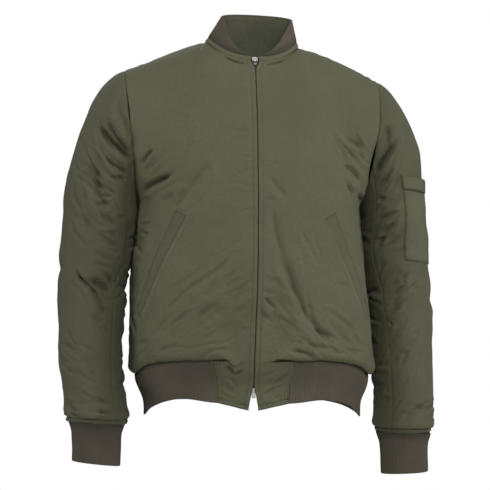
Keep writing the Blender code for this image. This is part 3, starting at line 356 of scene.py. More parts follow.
cloth = {
    "wall": 0.0024,         # shell cloth with its lining
    "step": 0.0025,         # mesh spacing
    "edge": (0.0, 0.0007, 0.0016, 0.0030),  # closer spacing next to an edge
    "seamDip": 0.0008,      # how far a sewn edge sinks
    "seamWidth": 0.0018,
    "pucker": 0.0007,       # gathers beside a seam
    "puckerPitch": 0.017, "puckerReach": 0.017,
    "drape": 0.0016, "lump": 0.0005,  # slow unevenness of the whole cloth, and of pieces laid on it
    "waves": [  # share, size, seed and count of the sines that make up that unevenness
        (1.0, 0.16, 5, 9), (0.45, 0.07, 8, 9), (0.16, 0.028, 9, 14),
    ],
    "foldDeep": 2.1, "foldWide": 0.95,  # all folds together
    "ridgeAway": 2.1, "ridgeWide": 1.3,  # the ridge beside a trough, in widths of the trough
    "calmSewn": 0.012, "calmFree": 0.016,  # folds fade out this far from an edge
    "sharp": 65,            # degrees between faces that makes a hard edge
}
hosts = {}  # finished cloth that other pieces lie on


def lengths(grid, axis):  # distance along the rows (axis 1) or the columns (axis 0)
    step = np.linalg.norm(np.diff(grid, axis=axis), axis=-1)
    start = np.zeros_like(step[:, :1] if axis else step[:1])
    return np.cumsum(np.concatenate([start, step], axis=axis), axis=axis)


def normalsOf(grid, ring=False):
    if ring:
        along = np.roll(grid, -1, axis=1) - np.roll(grid, 1, axis=1)
    else:
        along = np.gradient(grid, axis=1)
    return unit(np.cross(along, np.gradient(grid, axis=0)))


def spread(length, step=None, edge=None):  # places from 0 to 1, closer together near both ends
    edge = np.array(edge or cloth["edge"]) / length
    count = max(int((1 - 2 * edge[-1]) * length / (step or cloth["step"])), 2)
    return np.concatenate([edge[:-1], np.linspace(edge[-1], 1 - edge[-1], count + 1), 1 - edge[-2::-1]])


def evenRows(place, column, last, step=None):  # row numbers an even distance apart along one column
    dense = np.linspace(0, last, 500)
    line = place(np.full(500, column), dense)
    run = np.concatenate([[0], np.cumsum(np.linalg.norm(np.diff(line, axis=0), axis=-1))])
    return np.interp(spread(run[-1], step) * run[-1], run, dense)


def drape(p, size, seed, count=9):  # slow noise in space, so that neighbouring pieces agree at their seams
    rng = np.random.default_rng(seed)
    total = 0.0
    for _ in range(count):
        way = unit(rng.normal(size=3)) * (2 * pi / (size * rng.uniform(0.7, 1.7)))
        total = total + np.sin(p @ way + rng.uniform(0, 2 * pi))
    return total / np.sqrt(count)


def gathers(along, away, seed):  # uneven short puckers square to a seam
    rng = np.random.default_rng(seed)
    pitch, reach = cloth["puckerPitch"], cloth["puckerReach"]
    total = 0.0
    for _ in range(7):
        total = total + np.sin(along * 2 * pi / (pitch * rng.uniform(0.6, 1.8)) + rng.uniform(0, 2 * pi)
                               + away * rng.uniform(-60, 60))
    patch = 0.55 + 0.45 * np.sin(along * 2 * pi / (pitch * 6.5) + rng.uniform(0, 2 * pi))
    return total / 2.6 * patch * np.exp(-away / reach) * (1 - bell(away, 0.0025))


def foldDepth(x, y, folds):  # outward push of listed folds, each a soft trough with a ridge beside it
    push = np.zeros(np.broadcast(x, y).shape)
    for x0, y0, x1, y1, bend, deep, wide, ridge in np.array(folds) / 1000:
        run = np.hypot(x1 - x0, y1 - y0)
        ex, ey = (x1 - x0) / run, (y1 - y0) / run
        along = ((x - x0) * ex + (y - y0) * ey) / run
        off = (x - x0) * -ey + (y - y0) * ex - 4 * bend * along * (1 - along)
        ends = smooth(along / 0.35 + 0.15) * smooth((1 - along) / 0.35 + 0.15)
        width = wide * cloth["foldWide"] * (0.7 + 0.6 * ends)
        trough = np.exp(-(np.abs(off) / width) ** 1.4)
        side = bell(off - np.sign(ridge) * cloth["ridgeAway"] * width, cloth["ridgeWide"] * width)
        push += ends * (abs(ridge) * side - deep * trough) * cloth["foldDeep"]
    return push


scatter = {"long": 1.5, "deep": 1.25, "turn": 11, "width": (1.9, 3.1), "bend": 0.10, "ridge": 0.5}


def scattered(patches, seed):  # many short uneven creases over patches of cloth, as fold rows
    rng = np.random.default_rng(seed)
    rows = []
    for x, y, halfX, halfY, angle, length, deep, count in patches:
        length = scatter["long"] * length
        for _ in range(count):
            way = radians(angle + rng.normal() * scatter["turn"])
            long = length * rng.uniform(0.5, 1.4)
            mx, my = x + halfX * rng.uniform(-1, 1), y + halfY * rng.uniform(-1, 1)
            dx, dy = cos(way) * long / 2, sin(way) * long / 2
            depth = scatter["deep"] * deep * rng.uniform(0.35, 1.1)
            bend = long * rng.uniform(-scatter["bend"], scatter["bend"])
            rows.append((mx - dx, my - dy, mx + dx, my + dy, bend, depth, rng.uniform(*scatter["width"]),
                         depth * rng.choice((-scatter["ridge"], scatter["ridge"]))))
    return rows


def linked(name, data):
    made = bpy.data.objects.new(name, data)
    bpy.context.scene.collection.objects.link(made)
    return made


def meshPiece(name, outer, inner, flip, fields, ring=False, cut=None):  # closed wall between two grids
    rows, columns = outer.shape[:2]
    count = rows * columns
    index = np.arange(count).reshape(rows, columns)
    right = np.roll(index, -1, axis=1) if ring else index[:, 1:]
    left = index if ring else index[:, :-1]
    quads = np.stack([left[:-1], right[:-1], right[1:], left[1:]], axis=-1).reshape(-1, 4)
    ends = [np.stack([left[0], left[0] + count, right[0] + count, right[0]], axis=-1),
            np.stack([left[-1], right[-1], right[-1] + count, left[-1] + count], axis=-1)]
    if not ring:
        a, b = index[:-1, 0], index[1:, 0]
        ends.append(np.stack([a, b, b + count, a + count], axis=-1))
        a, b = index[:-1, -1], index[1:, -1]
        ends.append(np.stack([a, a + count, b + count, b], axis=-1))
    faces = np.concatenate([quads, quads[:, ::-1] + count] + ends)
    if flip:
        faces = faces[:, ::-1]
    mesh = bpy.data.meshes.new(name)
    mesh.vertices.add(2 * count)
    mesh.vertices.foreach_set("co", np.concatenate([outer.reshape(-1, 3), inner.reshape(-1, 3)]).ravel())
    mesh.loops.add(len(faces) * 4)
    mesh.loops.foreach_set("vertex_index", faces.ravel())
    mesh.polygons.add(len(faces))
    mesh.polygons.foreach_set("loop_start", np.arange(len(faces)) * 4)
    mesh.update(calc_edges=True)
    for key, values in fields.items():
        values = np.broadcast_to(values, outer.shape).reshape(-1, 3)
        layer = mesh.attributes.new(key, "FLOAT_VECTOR", "POINT")
        layer.data.foreach_set("vector", np.concatenate([values, values]).ravel())
    mesh.shade_smooth()
    mesh.set_sharp_from_angle(angle=radians(cloth["sharp"]))
    if cut is not None:
        print("  ", name, len(faces), "faces, cut area %.4f m2" % areaOf(cut))
    return linked(name, mesh)


def areaOf(grid):
    a, b, c, d = grid[:-1, :-1], grid[:-1, 1:], grid[1:, 1:], grid[1:, :-1]
    halves = np.linalg.norm(np.cross(b - a, c - a), axis=-1) + np.linalg.norm(np.cross(c - a, d - a), axis=-1)
    return float(halves.sum() / 2)


def settle(piece, slot, finish, flat=None, area=None, held="hung", restsOn=(), node=None):
    piece.data.materials.append(finish)
    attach(piece, "jacket")
    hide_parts(node or piece.name.split(".")[0])


def edgeRoll(away, wall):  # a folded edge: how far each side turns in towards the middle of the wall
    share = np.clip(1 - away / (wall * 0.7), 0, 1)
    return wall * 0.5 * (1 - np.sqrt(1 - share ** 2 * 0.98))


def clothPiece(name, grid, flip, wall=cloth["wall"], folds=(), across=None, sewn=(), free=(), seed=1,
               pucker=1.0, extra=0.0, drop=0.0, drapeShare=1.0, grooves=(), calm=0.0, light=0.0, places=None):
    normal = normalsOf(grid) * (-1 if flip else 1)
    run, fall = lengths(grid, 1), lengths(grid, 0)
    away = {"first": run, "last": run[:, -1:] - run, "low": fall, "top": fall[-1:] - fall}
    along = {"first": fall, "last": fall, "low": run, "top": run}
    across = run if across is None else across
    slow = sum(share * drape(grid, *wave) for share, *wave in cloth["waves"])
    push = cloth["drape"] * drapeShare * slow
    hand = foldDepth(across, grid[..., 2], folds) if len(folds) else np.zeros(grid.shape[:2])
    dip, roll = 0.0, 0.0
    for k, edge in enumerate(sewn):
        hand = hand * smooth(away[edge] / cloth["calmSewn"])
        shown = 1 - 70 * calm if edge == "low" else 1.0
        dip = dip + cloth["seamDip"] * shown * bell(away[edge], cloth["seamWidth"])
        push = push + cloth["pucker"] * pucker * gathers(along[edge], away[edge], seed * 10 + k)
    for edge in free:
        hand = hand * smooth(away[edge] / cloth["calmFree"])
        roll = roll + edgeRoll(away[edge], wall)
    drawn = 0.0
    for edge, place, depth, width in grooves:  # stitching draws the cloth in
        drawn = drawn + depth * bell(away[edge] - place, width)
    dip, push = dip + drawn, push + hand + extra
    lowered = grid + point(0, 0, -drop + 0 * run)
    outer = lowered + normal * np.asarray(push - dip - roll)[..., None]
    inner = lowered + normal * np.asarray(push - wall + roll)[..., None]
    # depth of folds, creases and stitched grooves, kept for the painted shade in folds
    depth = np.clip(-hand - np.minimum(extra, 0) + 1.6 * drawn, 0, 0.02)
    # calm, added to the distance from the low edge, keeps the painted edge shade off there
    # the third number of ends carries the painted highlight
    fields = {"cloth": point(across, grid[..., 2], fall), "edges": point(run, away["last"], depth),
              "ends": point(fall + calm, away["top"], light + 0 * fall)}
    hosts[name] = {"outer": outer, "normal": normal}
    if places:
        hosts[name].update(columns=places[0], rows=places[1])
    return meshPiece(name, outer, inner, flip, fields, cut=grid)


def sampleAt(host, columns, rows):  # point and normal of a finished piece at its own column and row numbers
    i = np.clip(np.searchsorted(host["columns"], columns) - 1, 0, len(host["columns"]) - 2)
    j = np.clip(np.searchsorted(host["rows"], rows) - 1, 0, len(host["rows"]) - 2)
    u = ((columns - host["columns"][i]) / (host["columns"][i + 1] - host["columns"][i]))[..., None]
    v = ((rows - host["rows"][j]) / (host["rows"][j + 1] - host["rows"][j]))[..., None]

    def mixed(grid):
        return (grid[j, i] * (1 - u) * (1 - v) + grid[j, i + 1] * u * (1 - v)
                + grid[j + 1, i] * (1 - u) * v + grid[j + 1, i + 1] * u * v)
    return mixed(host["outer"]), unit(mixed(host["normal"]))


def rowsAt(host, columns, heights):  # row numbers at which a piece's columns reach given heights
    found = np.empty(np.shape(columns))
    for k, column in np.ndenumerate(columns):
        line = sampleAt(host, np.full(len(host["rows"]), column), host["rows"])[0][:, 2]
        order = 1 if line[-1] > line[0] else -1
        found[k] = np.interp(heights[k], line[::order], host["rows"][::order])
    return found


def laidPiece(name, host, columns, heights, wall, gap=0.0004, profile=None, seed=1, light=0.0):
    host = hosts[host]
    grid, normal = sampleAt(host, columns, rowsAt(host, columns, heights))
    run, fall = lengths(grid, 1), lengths(grid, 0)
    back, rest = run[:, -1:] - run, fall[-1:] - fall
    away = np.minimum(np.minimum(run, back), np.minimum(fall, rest))
    lift = gap + wall * np.sqrt(1 - (1 - np.clip(away / wall, 0, 1)) ** 2 * 0.98)
    lift = lift + cloth["lump"] * drape(grid, 0.035, seed) * smooth(away / 0.006)
    if profile:
        lift = lift + profile(run, back, fall, rest)
    outer, inner = grid + normal * lift[..., None], grid + normal * gap * 0.5
    facing = np.cross(grid[0, 1] - grid[0, 0], grid[1, 0] - grid[0, 0]) @ normal[0, 0] < 0
    # the third number of ends carries the painted highlight along the first column
    fields = {"cloth": point(run, fall, fall), "edges": point(run, back, 0 * run),
              "ends": point(fall, rest, light * bell(run, 0.0014))}
    return meshPiece(name, outer, inner, facing, fields, cut=grid)


# ---- materials

def operator(name, turned=False):  # one arithmetic sign between sockets and numbers
    def apply(wire, other):
        return wire.finish.maths(name, *((other, wire) if turned else (wire, other)))
    return apply


class Wire:  # a socket that shader maths can be written with
    def __init__(self, finish, socket):
        self.finish, self.socket = finish, socket

    __add__ = __radd__ = operator("ADD")
    __mul__ = __rmul__ = operator("MULTIPLY")
    __sub__, __rsub__ = operator("SUBTRACT"), operator("SUBTRACT", turned=True)
    __truediv__ = operator("DIVIDE")

    def __abs__(self):
        return self.finish.maths("ABSOLUTE", self)


class Finish:  # one material and the ways to add nodes to it
    def __init__(self, name, colour, roughness, metallic=0.0, **fixed):
        self.material = bpy.data.materials.new(name)
        self.material.use_nodes = True
        self.tree = self.material.node_tree
        self.shader = self.tree.nodes["Principled BSDF"]
        self.material.diffuse_color = (*colour, 1)
        self.give("Base Color", colour)
        self.give("Roughness", roughness)
        self.give("Metallic", metallic)
        for key, value in fixed.items():
            self.give(key.replace("_", " "), value)
        self.place = self.node("TexCoord", out=3)

    def give(self, socket, value, node=None):  # colours are given as three numbers
        target = (node or self.shader).inputs[socket]
        if isinstance(value, Wire):
            self.tree.links.new(value.socket, target)
        else:
            target.default_value = (*value, 1) if isinstance(value, (tuple, list)) else value

    def node(self, kind, settings=None, inputs=None, out=0):
        made = self.tree.nodes.new("ShaderNode" + kind)
        for key, value in (settings or {}).items():
            setattr(made, key, value)
        for key, value in (inputs or {}).items():
            self.give(key, value, made)
        return Wire(self, made.outputs[out])

    def maths(self, operation, *values):
        return self.node("Math", {"operation": operation}, dict(enumerate(values)))

    def field(self, name, part):  # one number of a mesh attribute
        whole = self.node("Attribute", {"attribute_name": name}, out=1)
        return self.node("SeparateXYZ", {}, {0: whole}, out=part)

    def noise(self, scale, detail=2.0, rough=0.5, distort=0.0, place=None):
        return self.node("TexNoise", {}, {"Vector": place or self.place, "Scale": scale, "Detail": detail,
                                          "Roughness": rough, "Distortion": distort})

    def ease(self, value, low, high, start=0.0, end=1.0):  # smooth step between two values
        return self.node("MapRange", {"interpolation_type": "SMOOTHSTEP"},
                         {0: value, 1: low, 2: high, 3: start, 4: end})

    def mixed(self, share, first, second, blend="MIX"):
        return self.node("Mix", {"data_type": "RGBA", "blend_type": blend}, {0: share, 6: first, 7: second}, out=2)

    def done(self, colour, rough, height):  # wires up what varies and hands the material over
        self.give("Base Color", colour)
        if rough:
            self.give("Roughness", rough)
        self.give("Normal", self.node("Bump", {}, {"Height": height, "Distance": 1.0, "Strength": 1.0}))
        return self.material


def dimmed(colour, share):
    return [c * share for c in colour]


shellLook = {
    "colour": (0.100, 0.102, 0.0590), "light": (0.121, 0.123, 0.0745), "dark": (0.078, 0.080, 0.0455),
    "deep": (0.02, 0.02, 0.012),        # painted shade in folds, along rims and towards the arm's seams
    # ditch: painted shade in the groove beside a stitch line
    # ridge: painted highlight along the pocket's ridge and the welt's front edge
    "ditch": (0.045, 0.046, 0.030), "thread": (0.112, 0.112, 0.072), "ridge": (0.165, 0.165, 0.116),
    "roughness": 0.58,
    "foldShade": 0.44,                  # how much painted shade darkens a fold, by its depth
    "creepSlope": -0.75, "creepDepth": 0.0006,  # fine drag creases
    "twillPitch": 0.0011, "twillDepth": 0.00009, "fineDepth": 0.00035, "lumpDepth": 0.0009,
    "stitchLength": 0.0030, "stitchHalf": 0.00035,  # topstitching
}


def stitchMask(f, away, along, place):  # a dashed line of thread beside an edge
    half = shellLook["stitchHalf"]
    line = f.ease(abs(away - place), half, half * 0.35)
    return line * f.ease(abs(f.maths("FRACT", along / shellLook["stitchLength"]) - 0.5), 0.43, 0.36)


# rim sets the strength of the painted shade along edges and seams
def shellFinish(name, stitches=(), shade=1.0, slope=shellLook["creepSlope"], rim=0.14, sides=0.0):
    look = shellLook
    f = Finish(name, look["colour"], look["roughness"],
               Specular_IOR_Level=0.17, Sheen_Weight=0.03, Sheen_Roughness=0.45)
    u, v = f.field("cloth", 0), f.field("cloth", 1)
    patchy, fine, fleck = f.noise(9.0, 4.0, 0.62), f.noise(190.0, 3.0, 0.6), f.noise(900.0, 2.0, 0.6)
    twill = f.maths("SINE", (u + v) * (2 * pi / look["twillPitch"]))
    colour = f.mixed(f.ease(patchy, 0.30, 0.70), look["dark"], look["light"])
    colour = f.mixed(0.55, colour, look["colour"])
    colour = f.mixed(f.ease(fine * 0.6 + fleck * 0.4, 0.36, 0.66), dimmed(look["colour"], 0.88), colour)
    slant = f.node("CombineXYZ", {}, {0: (u + v * slope) * 14, 1: (v - u * slope) * 80, 2: patchy * 1.5})
    creep = 1.0 - abs(f.noise(1.0, 2.0, 0.45, 0.6, slant) - 0.5) * 2
    creep = f.ease(creep, 0.55, 1.0) * f.ease(f.noise(15.0), 0.42, 0.62) * f.ease(v, -0.10, -0.24, 0.25, 1.0)
    height = twill * look["twillDepth"] + fine * look["fineDepth"] + f.noise(46.0, 3.0, 0.55) * look["lumpDepth"]
    height = height - creep * look["creepDepth"]
    for field, part, place in stitches:
        away, along = f.field(field, part), v if field == "edges" else u
        mask = stitchMask(f, away, along, place)
        # painted shade in the groove either side of the stitch line
        ditch = f.ease(abs(away - place), 0.0012, 0.0002)
        colour = f.mixed(ditch * 0.38, colour, look["ditch"])
        colour = f.mixed(mask * 0.85, colour, look["thread"])
        height = height - ditch * 0.0006 + mask * 0.0004
    beside = f.maths("MINIMUM", f.field("edges", 0), f.field("edges", 1))
    edge = f.maths("MINIMUM", beside, f.maths("MINIMUM", f.field("ends", 0), f.field("ends", 1)))
    # painted shade along edges and seams
    colour = f.mixed(f.ease(edge, 0.0020, 0.0004) * rim, colour, look["deep"])
    # painted highlight along the pocket's ridge and the welt's front edge
    colour = f.mixed(f.field("ends", 2) * 0.75, colour, look["ridge"])
    # painted shade in folds, deeper where the fold is deeper
    colour = f.mixed(f.ease(f.field("edges", 2), 0.0012, 0.0090) * look["foldShade"], colour, look["deep"])
    if sides:  # painted shade, deeper towards the seams along the arm
        colour = f.mixed(f.ease(beside, 0.050, 0.0) * sides, colour, look["deep"])
    # painted shade: the whole piece darker by shade
    colour = f.mixed(1.0, colour, (shade,) * 3, "MULTIPLY")
    return f.done(colour, fine * 0.10 + patchy * 0.05 + look["roughness"], height)


ribLook = {
    # seam: painted shade along the sewn edge
    "colour": (0.092, 0.080, 0.058), "groove": (0.080, 0.069, 0.050), "seam": (0.022, 0.019, 0.014),
    "stitch": 0.0016, "roughness": 0.80,
}


def ribFinish(name, shade):  # knitted rib: columns of small V stitches, with painted shade between the ribs and a painted highlight on the loops' crests
    look = ribLook
    f = Finish(name, look["colour"], look["roughness"], Specular_IOR_Level=0.12, Sheen_Weight=0.04, Sheen_Roughness=0.5)
    rib, v = f.field("cloth", 0), f.field("cloth", 1)
    crest = 0.5 + 0.5 * f.maths("COSINE", rib * (2 * pi))
    slope = abs(f.maths("FRACT", rib + 0.5) - 0.5)
    loops = 0.5 + 0.5 * f.maths("SINE", (v + slope * look["stitch"]) * (2 * pi / look["stitch"]))
    fuzz, patchy = f.noise(700.0, 3.0, 0.7), f.noise(14.0, 3.0, 0.6)
    # painted shade between the ribs
    colour = f.mixed(f.ease(crest, 0.05, 0.75), look["groove"], look["colour"])
    # painted highlight on the loops' crests
    colour = f.mixed(f.ease(loops * crest, 0.1, 0.9) * 0.35, colour, dimmed(look["colour"], 1.22))
    colour = f.mixed(f.ease(patchy * 0.6 + fuzz * 0.4, 0.35, 0.68), dimmed(look["colour"], 0.72), colour)
    # painted shade along the sewn edge, where the shell, the sleeve's end or the neck band stands over the rib
    colour = f.mixed(f.ease(v, 0.017, 0.001) * 0.5, colour, look["seam"])
    # the whole knit scaled by shade: painted light above one, painted shade below one
    colour = f.mixed(1.0, colour, (shade,) * 3, "MULTIPLY")
    return f.done(colour, fuzz * 0.15 + look["roughness"], loops * crest * 0.00035 + fuzz * 0.0004 + crest * 0.0002)


facingLook = {
    "colour": (0.078, 0.080, 0.052), "light": (0.086, 0.088, 0.058), "dark": (0.068, 0.070, 0.045),
    "fine": (0.070, 0.072, 0.047), "roughness": 0.68,
}


def facingFinish(name):
    f = Finish(name, facingLook["colour"], facingLook["roughness"], Specular_IOR_Level=0.15, Sheen_Weight=0.03)
    fine, patchy = f.noise(260.0, 3.0, 0.6), f.noise(14.0, 3.0, 0.6)
    colour = f.mixed(f.ease(patchy, 0.3, 0.7), facingLook["dark"], facingLook["light"])
    colour = f.mixed(f.ease(fine, 0.35, 0.65), colour, facingLook["fine"])
    return f.done(colour, fine * 0.1 + facingLook["roughness"], fine * 0.0004 + patchy * 0.0012)


tapeLook = {
    "colour": (0.022, 0.022, 0.017), "dark": (0.015, 0.015, 0.012), "light": (0.030, 0.030, 0.023),
    "weave": 0.0009, "roughness": 0.8,
}


def tapeFinish(name):
    f = Finish(name, tapeLook["colour"], tapeLook["roughness"])
    weave = f.maths("SINE", f.field("cloth", 1) * (2 * pi / tapeLook["weave"])) * 0.5 + 0.5
    colour = f.mixed(weave * 0.6, tapeLook["dark"], tapeLook["light"])
    return f.done(colour, None, weave * 0.00012 + f.noise(500.0) * 0.0001)


def metalFinish(name, colour, roughness, wear):
    f = Finish(name, colour, roughness, 1.0)
    scratch, smear = f.noise(900.0, 4.0, 0.7), f.noise(160.0, 3.0, 0.6)
    worn = f.mixed(f.ease(scratch * 0.5 + smear * 0.5, 0.38, 0.64), dimmed(colour, wear), colour)
    return f.done(worn, roughness - 0.06 + smear * 0.2, scratch * 0.00006)


def around(*insets):  # stitch lines in from the first, last, low and top edges
    return [(("edges", "ends")[k // 2], k % 2, inset) for k, inset in enumerate(insets)]


stitchAt = {"front": 0.0075, "sleeve": 0.0085, "tab": 0.0080}  # in from the edge
armStitches = [("ends", 1, stitchAt["sleeve"])]
shellPlain = shellFinish("oliveShell")
shellFront = shellFinish("oliveShellFront", [("edges", 0, stitchAt["front"])])
# the sleeves and under sleeves are the olive cloth with painted shade: darker overall, the sleeves also towards their
# seams
shellSleeve = shellFinish("oliveSleeve", armStitches, 0.88, slope=0.75, sides=0.30)
shellUnder = shellFinish("oliveUnderSleeve", armStitches, 0.68, slope=0.75)
shellTab = shellFinish("oliveTab", [("edges", 0, stitchAt["front"]), ("edges", 1, 0.0030),
                                    ("edges", 1, stitchAt["tab"]), ("ends", 1, stitchAt["tab"])])
# painted shade: the welt darker than the front it lies on
shellWelt = shellFinish("oliveWelt", around(0.0050, 0.0020, 0.0020, 0.0020), 0.90, rim=0.0)
shellPocket = shellFinish("olivePocket", around(0.0022, 0.0022, 0.0022, 0.0022))
# the same knit twice: painted light on the hem and collar rib, painted shade on the cuffs
ribKnit, cuffKnit = ribFinish("brownRib", 1.06), ribFinish("brownCuff", 0.94)
facingCloth, zipTape = facingFinish("oliveFacing"), tapeFinish("zipTape")
nickel = metalFinish("nickel", (0.25, 0.245, 0.23), 0.30, 0.6)
gunmetal = metalFinish("gunmetal", (0.035, 0.035, 0.034), 0.42, 0.6)
boxMetal = metalFinish("boxMetal", (0.85, 0.83, 0.80), 0.44, 0.4)
teethMetal = metalFinish("teethMetal", (0.042, 0.042, 0.036), 0.60, 0.6)
print("materials made")

# ---- fronts and back

welt = {
    "line": [  # share of the length, height, turn of the front edge
        (0.00, -0.273, 0.183),
        (0.25, -0.317, 0.225),
        (0.50, -0.361, 0.267),
        (0.75, -0.404, 0.310),
        (1.00, -0.440, 0.354),
    ],
    "turn": 0.045, "rise": 0.012, "wall": 0.0008,
    "lip": 0.0006, "lipAt": 0.0030, "lipHalf": 0.0018,
}
frontEdges = {"edge": 0.0005, "atSlider": 0.0062, "notch": (-0.026, -0.009)}
frontFolds = {  # mm: from across, height; to across, height; bend, depth, width, ridge beside it
    "left": [
        (17, -206, 48, -242, 0.2, 1.6, 5, -0.7), (23, -252, 41, -338, -3.4, 2, 6, -1),
        (32, -323, 75, -413, 0.1, 3.2, 6.5, -1.6), (69, -401, 136, -480, -9.6, 2.8, 7, -1.4),
        (12, -403, 33, -422, -0.7, 1.4, 3.5, -0.6), (10, -427, 30, -443, -2.4, 0.9, 4, 0.3),
        (161, -139, 200, -156, 4.2, 2, 4, -0.8), (155, -180, 188, -208, 2.9, 2.2, 3.6, 1.4),
        (162, -213, 175, -244, 3.6, 1.8, 4, 1.2), (186, -227, 222, -234, -4.4, 2.4, 3, 0.8),
        (136, -380, 169, -382, 0.4, 0.9, 2, 0.3), (169, -461, 194, -491, 2.5, 1.2, 3, 0.5),
        (152, -465, 173, -495, 1.7, 0.9, 3.5, 0.4), (60, -494, 101, -507, 3.1, 3, 2.8, -1.2),
        (72, -470, 140, -498, 1.2, 1, 5, 0.6),
    ],
    "right": [
        (203, -205, 237, -370, 2, -3.2, 9, 0), (181, -162, 199, -188, 3.9, 3, 3, -1.2),
        (215, -234, 143, -202, -1, 4.8, 4.2, 1.8), (76, -183, 119, -234, 2.5, 2, 7, -1),
        (115, -229, 144, -260, 0.6, 2, 5, -1), (167, -249, 140, -236, -0.2, 1.6, 3.5, -0.6),
        (220, -287, 189, -283, -1.6, 1.4, 2, -0.5), (231, -300, 193, -301, -2.3, 1.6, 2, -0.6),
        (252, -310, 207, -335, -3.2, 1.6, 2.4, 0.6), (62, -371, 90, -407, -0.9, 1.5, 6, -0.8),
        (67, -416, 98, -438, -0.4, 1.6, 4, -0.8), (46, -420, 97, -444, 0.8, 0.9, 5, -0.4),
        (248, -437, 221, -471, -4.7, 1.8, 3, 0.6), (214, -486, 181, -480, -2.7, 1.2, 3, -0.5),
        (27, -299, 47, -323, 0.3, 0.9, 4, -0.4),
    ],
}
frontPatches = {  # mm: middle across, height; half sizes; angle in degrees; length, depth; count
    "left": [
        (175, -190, 30, 55, -50, 30, 0.8, 14), (60, -370, 40, 80, -58, 50, 0.7, 16),
        (100, -470, 60, 30, -35, 45, 0.8, 14), (215, -330, 18, 90, -40, 16, 0.7, 14),
        (18, -280, 10, 200, -15, 18, 0.5, 22), (120, -500, 80, 10, -12, 30, 0.8, 8),
        (150, -50, 60, 35, -20, 30, 0.4, 6),
    ],
    "right": [
        (150, -210, 45, 55, -38, 35, 0.8, 18), (225, -350, 18, 90, -20, 16, 0.8, 18),
        (90, -420, 75, 60, -42, 50, 0.8, 20), (20, -260, 10, 200, -18, 18, 0.6, 24),
        (140, -495, 90, 12, -10, 32, 0.8, 10), (190, -400, 20, 50, -60, 30, 0.6, 8),
        (110, -50, 60, 35, 20, 30, 0.4, 6),
    ],
}
backPatches = [
    (170, -220, 45, 55, 30, 35, 0.8, 16), (-170, -220, 45, 55, -30, 35, 0.8, 16),
    (120, -450, 90, 45, 25, 45, 0.8, 20), (-120, -450, 90, 45, -25, 45, 0.8, 20),
    (0, -330, 70, 80, -80, 50, 0.5, 12), (0, -500, 220, 10, 5, 32, 0.8, 16), (230, -350, 18, 90, 15, 16, 0.7, 12),
    (-230, -350, 18, 90, -15, 16, 0.7, 12),
]
backFolds = [  # across from the centre back
    (-215, -225, -120, -165, 6, 3.5, 6, 1.5), (-205, -250, -135, -215, 4, 2.5, 5, 1),
    (-225, -300, -165, -290, -3, 1.8, 4, 0.7), (-190, -395, -80, -430, 6, 2.6, 8, 1.4),
    (-230, -450, -130, -470, 4, 2.4, 6, -1.2), (-120, -480, -20, -492, 4, 2, 6, -1),
    (-60, -300, -35, -390, 6, 1.2, 10, 0.6), (30, -480, 125, -466, -4, 2.4, 7, 1.2),
    (80, -425, 200, -385, -6, 2.8, 8, -1.4), (140, -470, 235, -440, -4, 2.4, 6, 1.2),
    (225, -235, 125, -180, -6, 3.8, 6, -1.5), (210, -262, 150, -240, -3, 2, 5, 0.8),
    (235, -320, 175, -312, 3, 1.8, 4, -0.7), (50, -285, 22, -380, -6, 1.1, 10, 0.6),
    (-10, -60, -15, -150, 4, 0.8, 12, 0.4), (120, -50, 160, -120, 4, 1.2, 9, 0.6),
    (-125, -55, -160, -115, -4, 1.1, 9, 0.6),
]
lip = {  # shell hanging over the rib, by turn; where it sags beside the right tab
    "out": 0.0060, "edge": 0.0032, "level": 0.004, "reach": 0.013,
    "drop": -0.0040, "sideDrop": (-0.0050, 0.22), "dropReach": 0.030,
    "left": (0.055, 0.105), "right": (0.085, 0.140), "to": (0.80, 0.97),
    "hook": (0.033, 0.0075, 0.0070), "hookOut": 0.004,
}
neckCrease = {"below": 0.0074, "half": 0.0021, "depth": 0.0068, "from": (0.010, 0.018), "to": (0.040, 0.058)}
pocketRidge = {"ahead": 0.0012, "half": 0.0016, "rise": 0.0018}
armBulge = {"out": 0.0050, "height": -0.215, "half": 0.055, "edge": 0.016, "reach": 0.045}  # beside the sleeves


def lipShare(grid, turn, start):  # the cloth bags out just above the hem seam, most between the zip and the side
    above = lengths(grid, 0)
    swell = smooth(above / lip["edge"]) * bell(np.maximum(above - lip["level"], 0), lip["reach"])
    reach = fade(turn, start) * (1 - fade(turn, lip["to"]))
    deep, half = lip["sideDrop"]
    drop = lip["drop"] * fade(turn, start) + deep * bell(turn - 1, half)
    return swell * reach, bell(above, lip["dropReach"]) * drop


def frontExtra(grid, columns):  # crease under the neck seam and the ridge along the pocket
    run, fall = lengths(grid, 1), lengths(grid, 0)
    crease = bell(fall[-1:] - fall - neckCrease["below"], neckCrease["half"])
    crease = crease * fade(run, neckCrease["from"]) * (1 - fade(run, neckCrease["to"]))
    line, down = np.array(welt["line"]) * (1, -1, 1), -grid[..., 2]
    off = (columns - 2 * np.interp(down, line[:, 1], line[:, 2])) * run[:, -1:] / columns[-1]
    ends = fade(down, (line[0, 1], line[0, 1] + 0.015)) * (1 - fade(down, (line[-1, 1] - 0.010, line[-1, 1])))
    ridge = bell(off + pocketRidge["ahead"], pocketRidge["half"]) * ends
    # the ridge's mask also sets the painted highlight along it
    return pocketRidge["rise"] * ridge - neckCrease["depth"] * crease, ridge


def openedEdge(p, u):  # the front edges stand just apart, and further apart round the slider
    low, high = frontEdges["notch"]
    gap = frontEdges["edge"] + (frontEdges["atSlider"] - frontEdges["edge"]) * smooth((p[..., 2] - low) / (high - low))
    return p + point(gap * np.clip(1 - 11 * u, 0, 1), 0, 0)


def frontPlace(side):
    def place(u, row):
        return poseTorso(onSide(side, openedEdge(panelPoint(False, u, row), u)))
    return place


def backPlace(u, row):  # u from -1 to 1, from the wearer's right to the left
    p = panelPoint(True, np.abs(u), row)
    return poseTorso(p * point(np.where(u < 0, -1, 1), 1, 1))


